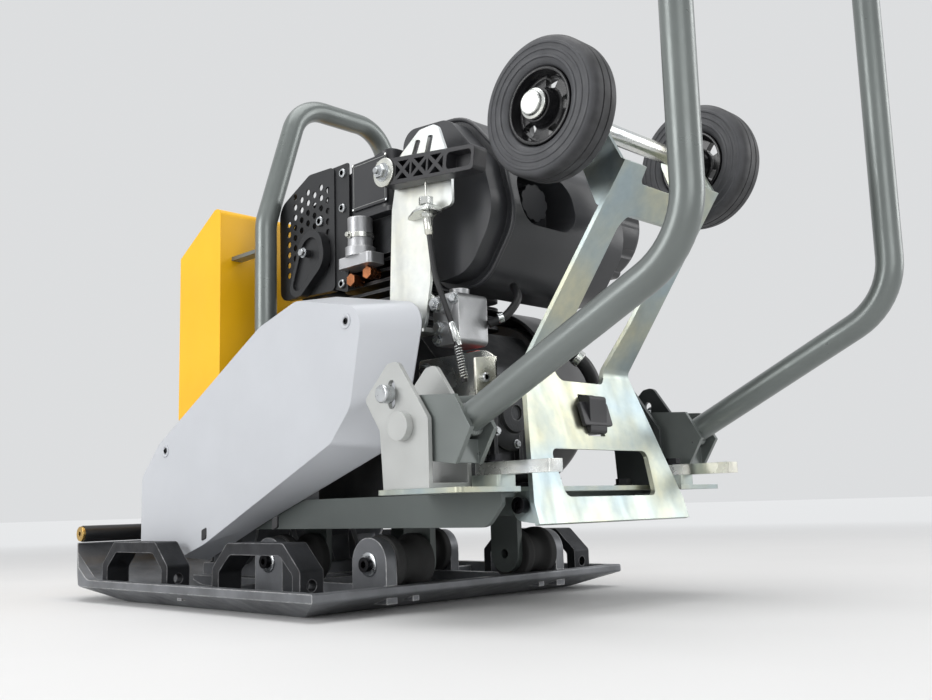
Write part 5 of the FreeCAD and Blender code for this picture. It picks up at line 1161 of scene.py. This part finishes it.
@dataclass
class HandleUnit:
    """The folding handle, its brackets, bushes, bolts and latch pins."""

    shop: Workshop
    leg_x: float = 191.0
    tube_radius: float = 14.0
    leg_direction: Point = (0.0, 0.9014, 0.4331)
    seams: tuple[tuple[float, float], ...] = ((405.0, 174.0), (434.0, 188.0))

    def dress(self) -> None:
        """Gives the CAD nodes of the handle their finishes."""
        self.shop.dress(Finish.FRAME, "handle")
        self.shop.dress(Finish.BRACKET, "handle_bracket_left")
        # The right bracket takes the shaded copy of the bracket paint: painted shade.
        self.shop.dress(Finish.BRACKET_DARK, "handle_bracket_right")
        self.shop.dress(Finish.BRACKET, "handle_pivots")
        self.shop.dress(Finish.MOUNT, "handle_bushes")
        self.shop.dress(Finish.ZINC_BOLT, "handle_latch_left", "handle_latch_right")

    def build(self) -> None:
        """Adds the welds where the tube meets its forks."""
        welds = [weld((x, y, z), self.leg_direction, self.tube_radius, 2.6)
                 for x in (self.leg_x, -self.leg_x) for y, z in self.seams]
        self.shop.add("handle_welds", gather(welds), "handle_unit", Finish.FRAME, Shading.SMOOTH)


@dataclass
class Carriage:
    """The tilting wheel carriage with its axle and two wheels."""

    shop: Workshop
    wheel_x: float = 132.0
    axle: tuple[float, float] = (497.0, 484.0)
    half_tyre: tuple[tuple[float, float], ...] = (
        (69.5, 4.2), (68.5, 4.6), (68.5, 5.8), (69.5, 6.2), (69.4, 11.5), (68.2, 15.0), (66.0, 17.6),
        (62.8, 18.5), (62.2, 19.5), (60.0, 19.8), (59.4, 18.8), (55.8, 19.2), (55.2, 20.2), (53.4, 20.4),
        (52.8, 19.3), (48.8, 19.6), (48.2, 20.6), (46.0, 20.6), (45.4, 19.2), (42.2, 18.2), (40.2, 16.4),
        (38.4, 13.5),
    )

    def dress(self) -> None:
        """Gives the CAD nodes of the carriage their finishes."""
        self.shop.dress(Finish.ZINC, "wheel_carriage")
        self.shop.dress(Finish.ZINC_BRIGHT, "wheel_axle", "axle_caps")
        self.shop.dress(Finish.BLACK, "carriage_buffer")
        self.shop.dress(Finish.RIM, "wheel_rim_left", "wheel_rim_right")
        self.shop.dress(Finish.TYRE, "tyre_left", "tyre_right")

    def build(self) -> None:
        """Replaces the plain tyres by ones with tread edges and side rings, and adds the buffer's tabs."""
        profile = [(radius, -height) for radius, height in reversed(self.half_tyre)] + list(self.half_tyre)
        tyre = lathe(profile, 120, closed=True)
        for side, x in (("left", self.wheel_x), ("right", -self.wheel_x)):
            shape = spread(tyre, Axis.X, (x, *self.axle))
            piece = self.shop.add(f"tyre_{side}_moulded", shape, f"wheel_{side}", Finish.TYRE)
            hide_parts(f"tyre_{side}")
        tabs = plate(rounded(box(-24, -13, 24, 13), 3), 0, 4.5, "XY")
        seated = tabs.turned((0, 0.961, 0.276), at(0, 431.0, 200))
        self.shop.add("buffer_tabs", seated, "carriage", Finish.BLACK, bevel=0.8)


@dataclass(frozen=True)
class Lamp:
    """One soft area light aimed at a point."""

    name: str
    place: Point
    aim: Point
    size: tuple[float, float]
    power: float

    def build(self) -> None:
        """Adds the light."""
        light = bpy.data.lights.new(self.name, "AREA")
        light.shape = "RECTANGLE"
        light.size, light.size_y = self.size
        light.energy = self.power
        lamp = bpy.data.objects.new(self.name, light)
        lamp.location = self.place
        direction = Vector(self.aim) - Vector(self.place)
        lamp.rotation_euler = direction.to_track_quat("-Z", "Y").to_euler()
        bpy.context.scene.collection.objects.link(lamp)


@dataclass
class Studio:
    """The camera of the photograph, a pale floor, soft light and the world."""

    camera_place: Point = (0.869, 1.099, 0.109)
    lens: float = 39.785
    axes: tuple[Point, Point, Point] = (
        (-0.70365948, 0.70998049, -0.0281252),
        (0.08667561, 0.12505673, 0.98835629),
        (0.70523093, 0.69302851, -0.14953534),
    )
    floor_grey: float = 0.78
    backdrop: Colour = (0.72, 0.73, 0.74)
    lamps: tuple[Lamp, ...] = (
        Lamp("softbox_top", (0.2, 0.3, 2.6), (0.0, 0.15, 0.3), (2.6, 2.0), 42.0),
        Lamp("softbox_left", (2.6, -0.6, 1.1), (0.1, 0.1, 0.35), (1.2, 1.6), 34.0),
        Lamp("softbox_right", (-2.2, 2.2, 1.3), (0.0, 0.3, 0.4), (1.2, 1.8), 26.0),
        Lamp("softbox_rear", (1.4, 2.6, 0.9), (0.0, 0.2, 0.3), (1.4, 1.2), 13.0),
    )

    def build(self) -> None:
        """Makes the camera, the floor, the lamps and the world."""
        data = bpy.data.cameras.new("camera")
        data.sensor_width = 36.0
        data.lens = self.lens
        data.clip_start = 0.02
        data.clip_end = 80.0
        camera = bpy.data.objects.new("camera", data)
        turn = Matrix(self.axes).transposed().to_4x4()
        camera.matrix_world = Matrix.Translation(self.camera_place) @ turn
        bpy.context.scene.collection.objects.link(camera)
        bpy.context.scene.camera = camera
        self.floor()
        for lamp in self.lamps:
            lamp.build()
        self.world()
        bpy.context.scene.view_settings.view_transform = "Standard"

    def floor(self) -> None:
        """Lays the plain pale floor under the sole."""
        graph = Graph("studio_floor")
        grey = self.floor_grey
        distance = graph.add("ShaderNodeVectorMath", operation="LENGTH")
        graph.link(graph.place, distance.inputs[0])
        far = graph.span(distance.outputs["Value"], (1.1, 3.4), (0.0, 1.0))
        near = graph.span(graph.noise(3.0, 2.0), (0.3, 0.7), (grey - 0.01, grey + 0.01))
        graph.surface(graph.blend(far, near, (0.0, 0.0, 0.0)), 0.6)
        graph.shader.inputs["Specular IOR Level"].default_value = 0.12
        graph.shader.inputs["Emission Color"].default_value = (*self.backdrop, 1.0)
        graph.link(far, graph.shader.inputs["Emission Strength"])
        reach, level = 30.0, -0.0002
        corners = np.array([[(-reach, -reach, level), (reach, -reach, level)],
                            [(-reach, reach, level), (reach, reach, level)]])
        surface = grid(corners)
        mesh = bpy.data.meshes.new("floor")
        mesh.from_pydata(surface.points.tolist(), [], surface.faces)
        mesh.materials.append(graph.material)
        floor = bpy.data.objects.new("floor", mesh)
        bpy.context.scene.collection.objects.link(floor)

    def world(self) -> None:
        """A pale surrounding: plain light on the object, the backdrop's colour to camera and reflections."""
        world = bpy.data.worlds.new("studio")
        bpy.context.scene.world = world
        world.use_nodes = True
        tree = world.node_tree
        tree.nodes.clear()
        output = tree.nodes.new("ShaderNodeOutputWorld")
        lit = tree.nodes.new("ShaderNodeBackground")
        lit.inputs["Color"].default_value = (1.0, 1.0, 1.0, 1.0)
        lit.inputs["Strength"].default_value = 0.42
        seen = tree.nodes.new("ShaderNodeBackground")
        seen.inputs["Color"].default_value = (*self.backdrop, 1.0)
        seen.inputs["Strength"].default_value = 1.0
        path = tree.nodes.new("ShaderNodeLightPath")
        mix = tree.nodes.new("ShaderNodeMixShader")
        share = path.outputs["Is Camera Ray"]
        for name in ("Is Glossy Ray", "Is Transmission Ray"):
            either = tree.nodes.new("ShaderNodeMath")
            either.operation = "MAXIMUM"
            tree.links.new(share, either.inputs[0])
            tree.links.new(path.outputs[name], either.inputs[1])
            share = either.outputs["Value"]
        tree.links.new(share, mix.inputs["Fac"])
        tree.links.new(lit.outputs["Background"], mix.inputs[1])
        tree.links.new(seen.outputs["Background"], mix.inputs[2])
        tree.links.new(mix.outputs["Shader"], output.inputs["Surface"])


def main() -> None:
    """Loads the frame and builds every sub-assembly in order."""
    logging.basicConfig(level=logging.INFO)
    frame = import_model()
    Studio().build()
    shop = Workshop(frame["nodes"])
    for kind in (BaseUnit, Engine, Controls, Console, HandleUnit, Carriage):
        unit = kind(shop)
        unit.dress()
        unit.build()
        LOG.info("%s is in place", kind.__name__)
    bpy.context.view_layer.update()


if __name__ == "__main__":
    main()
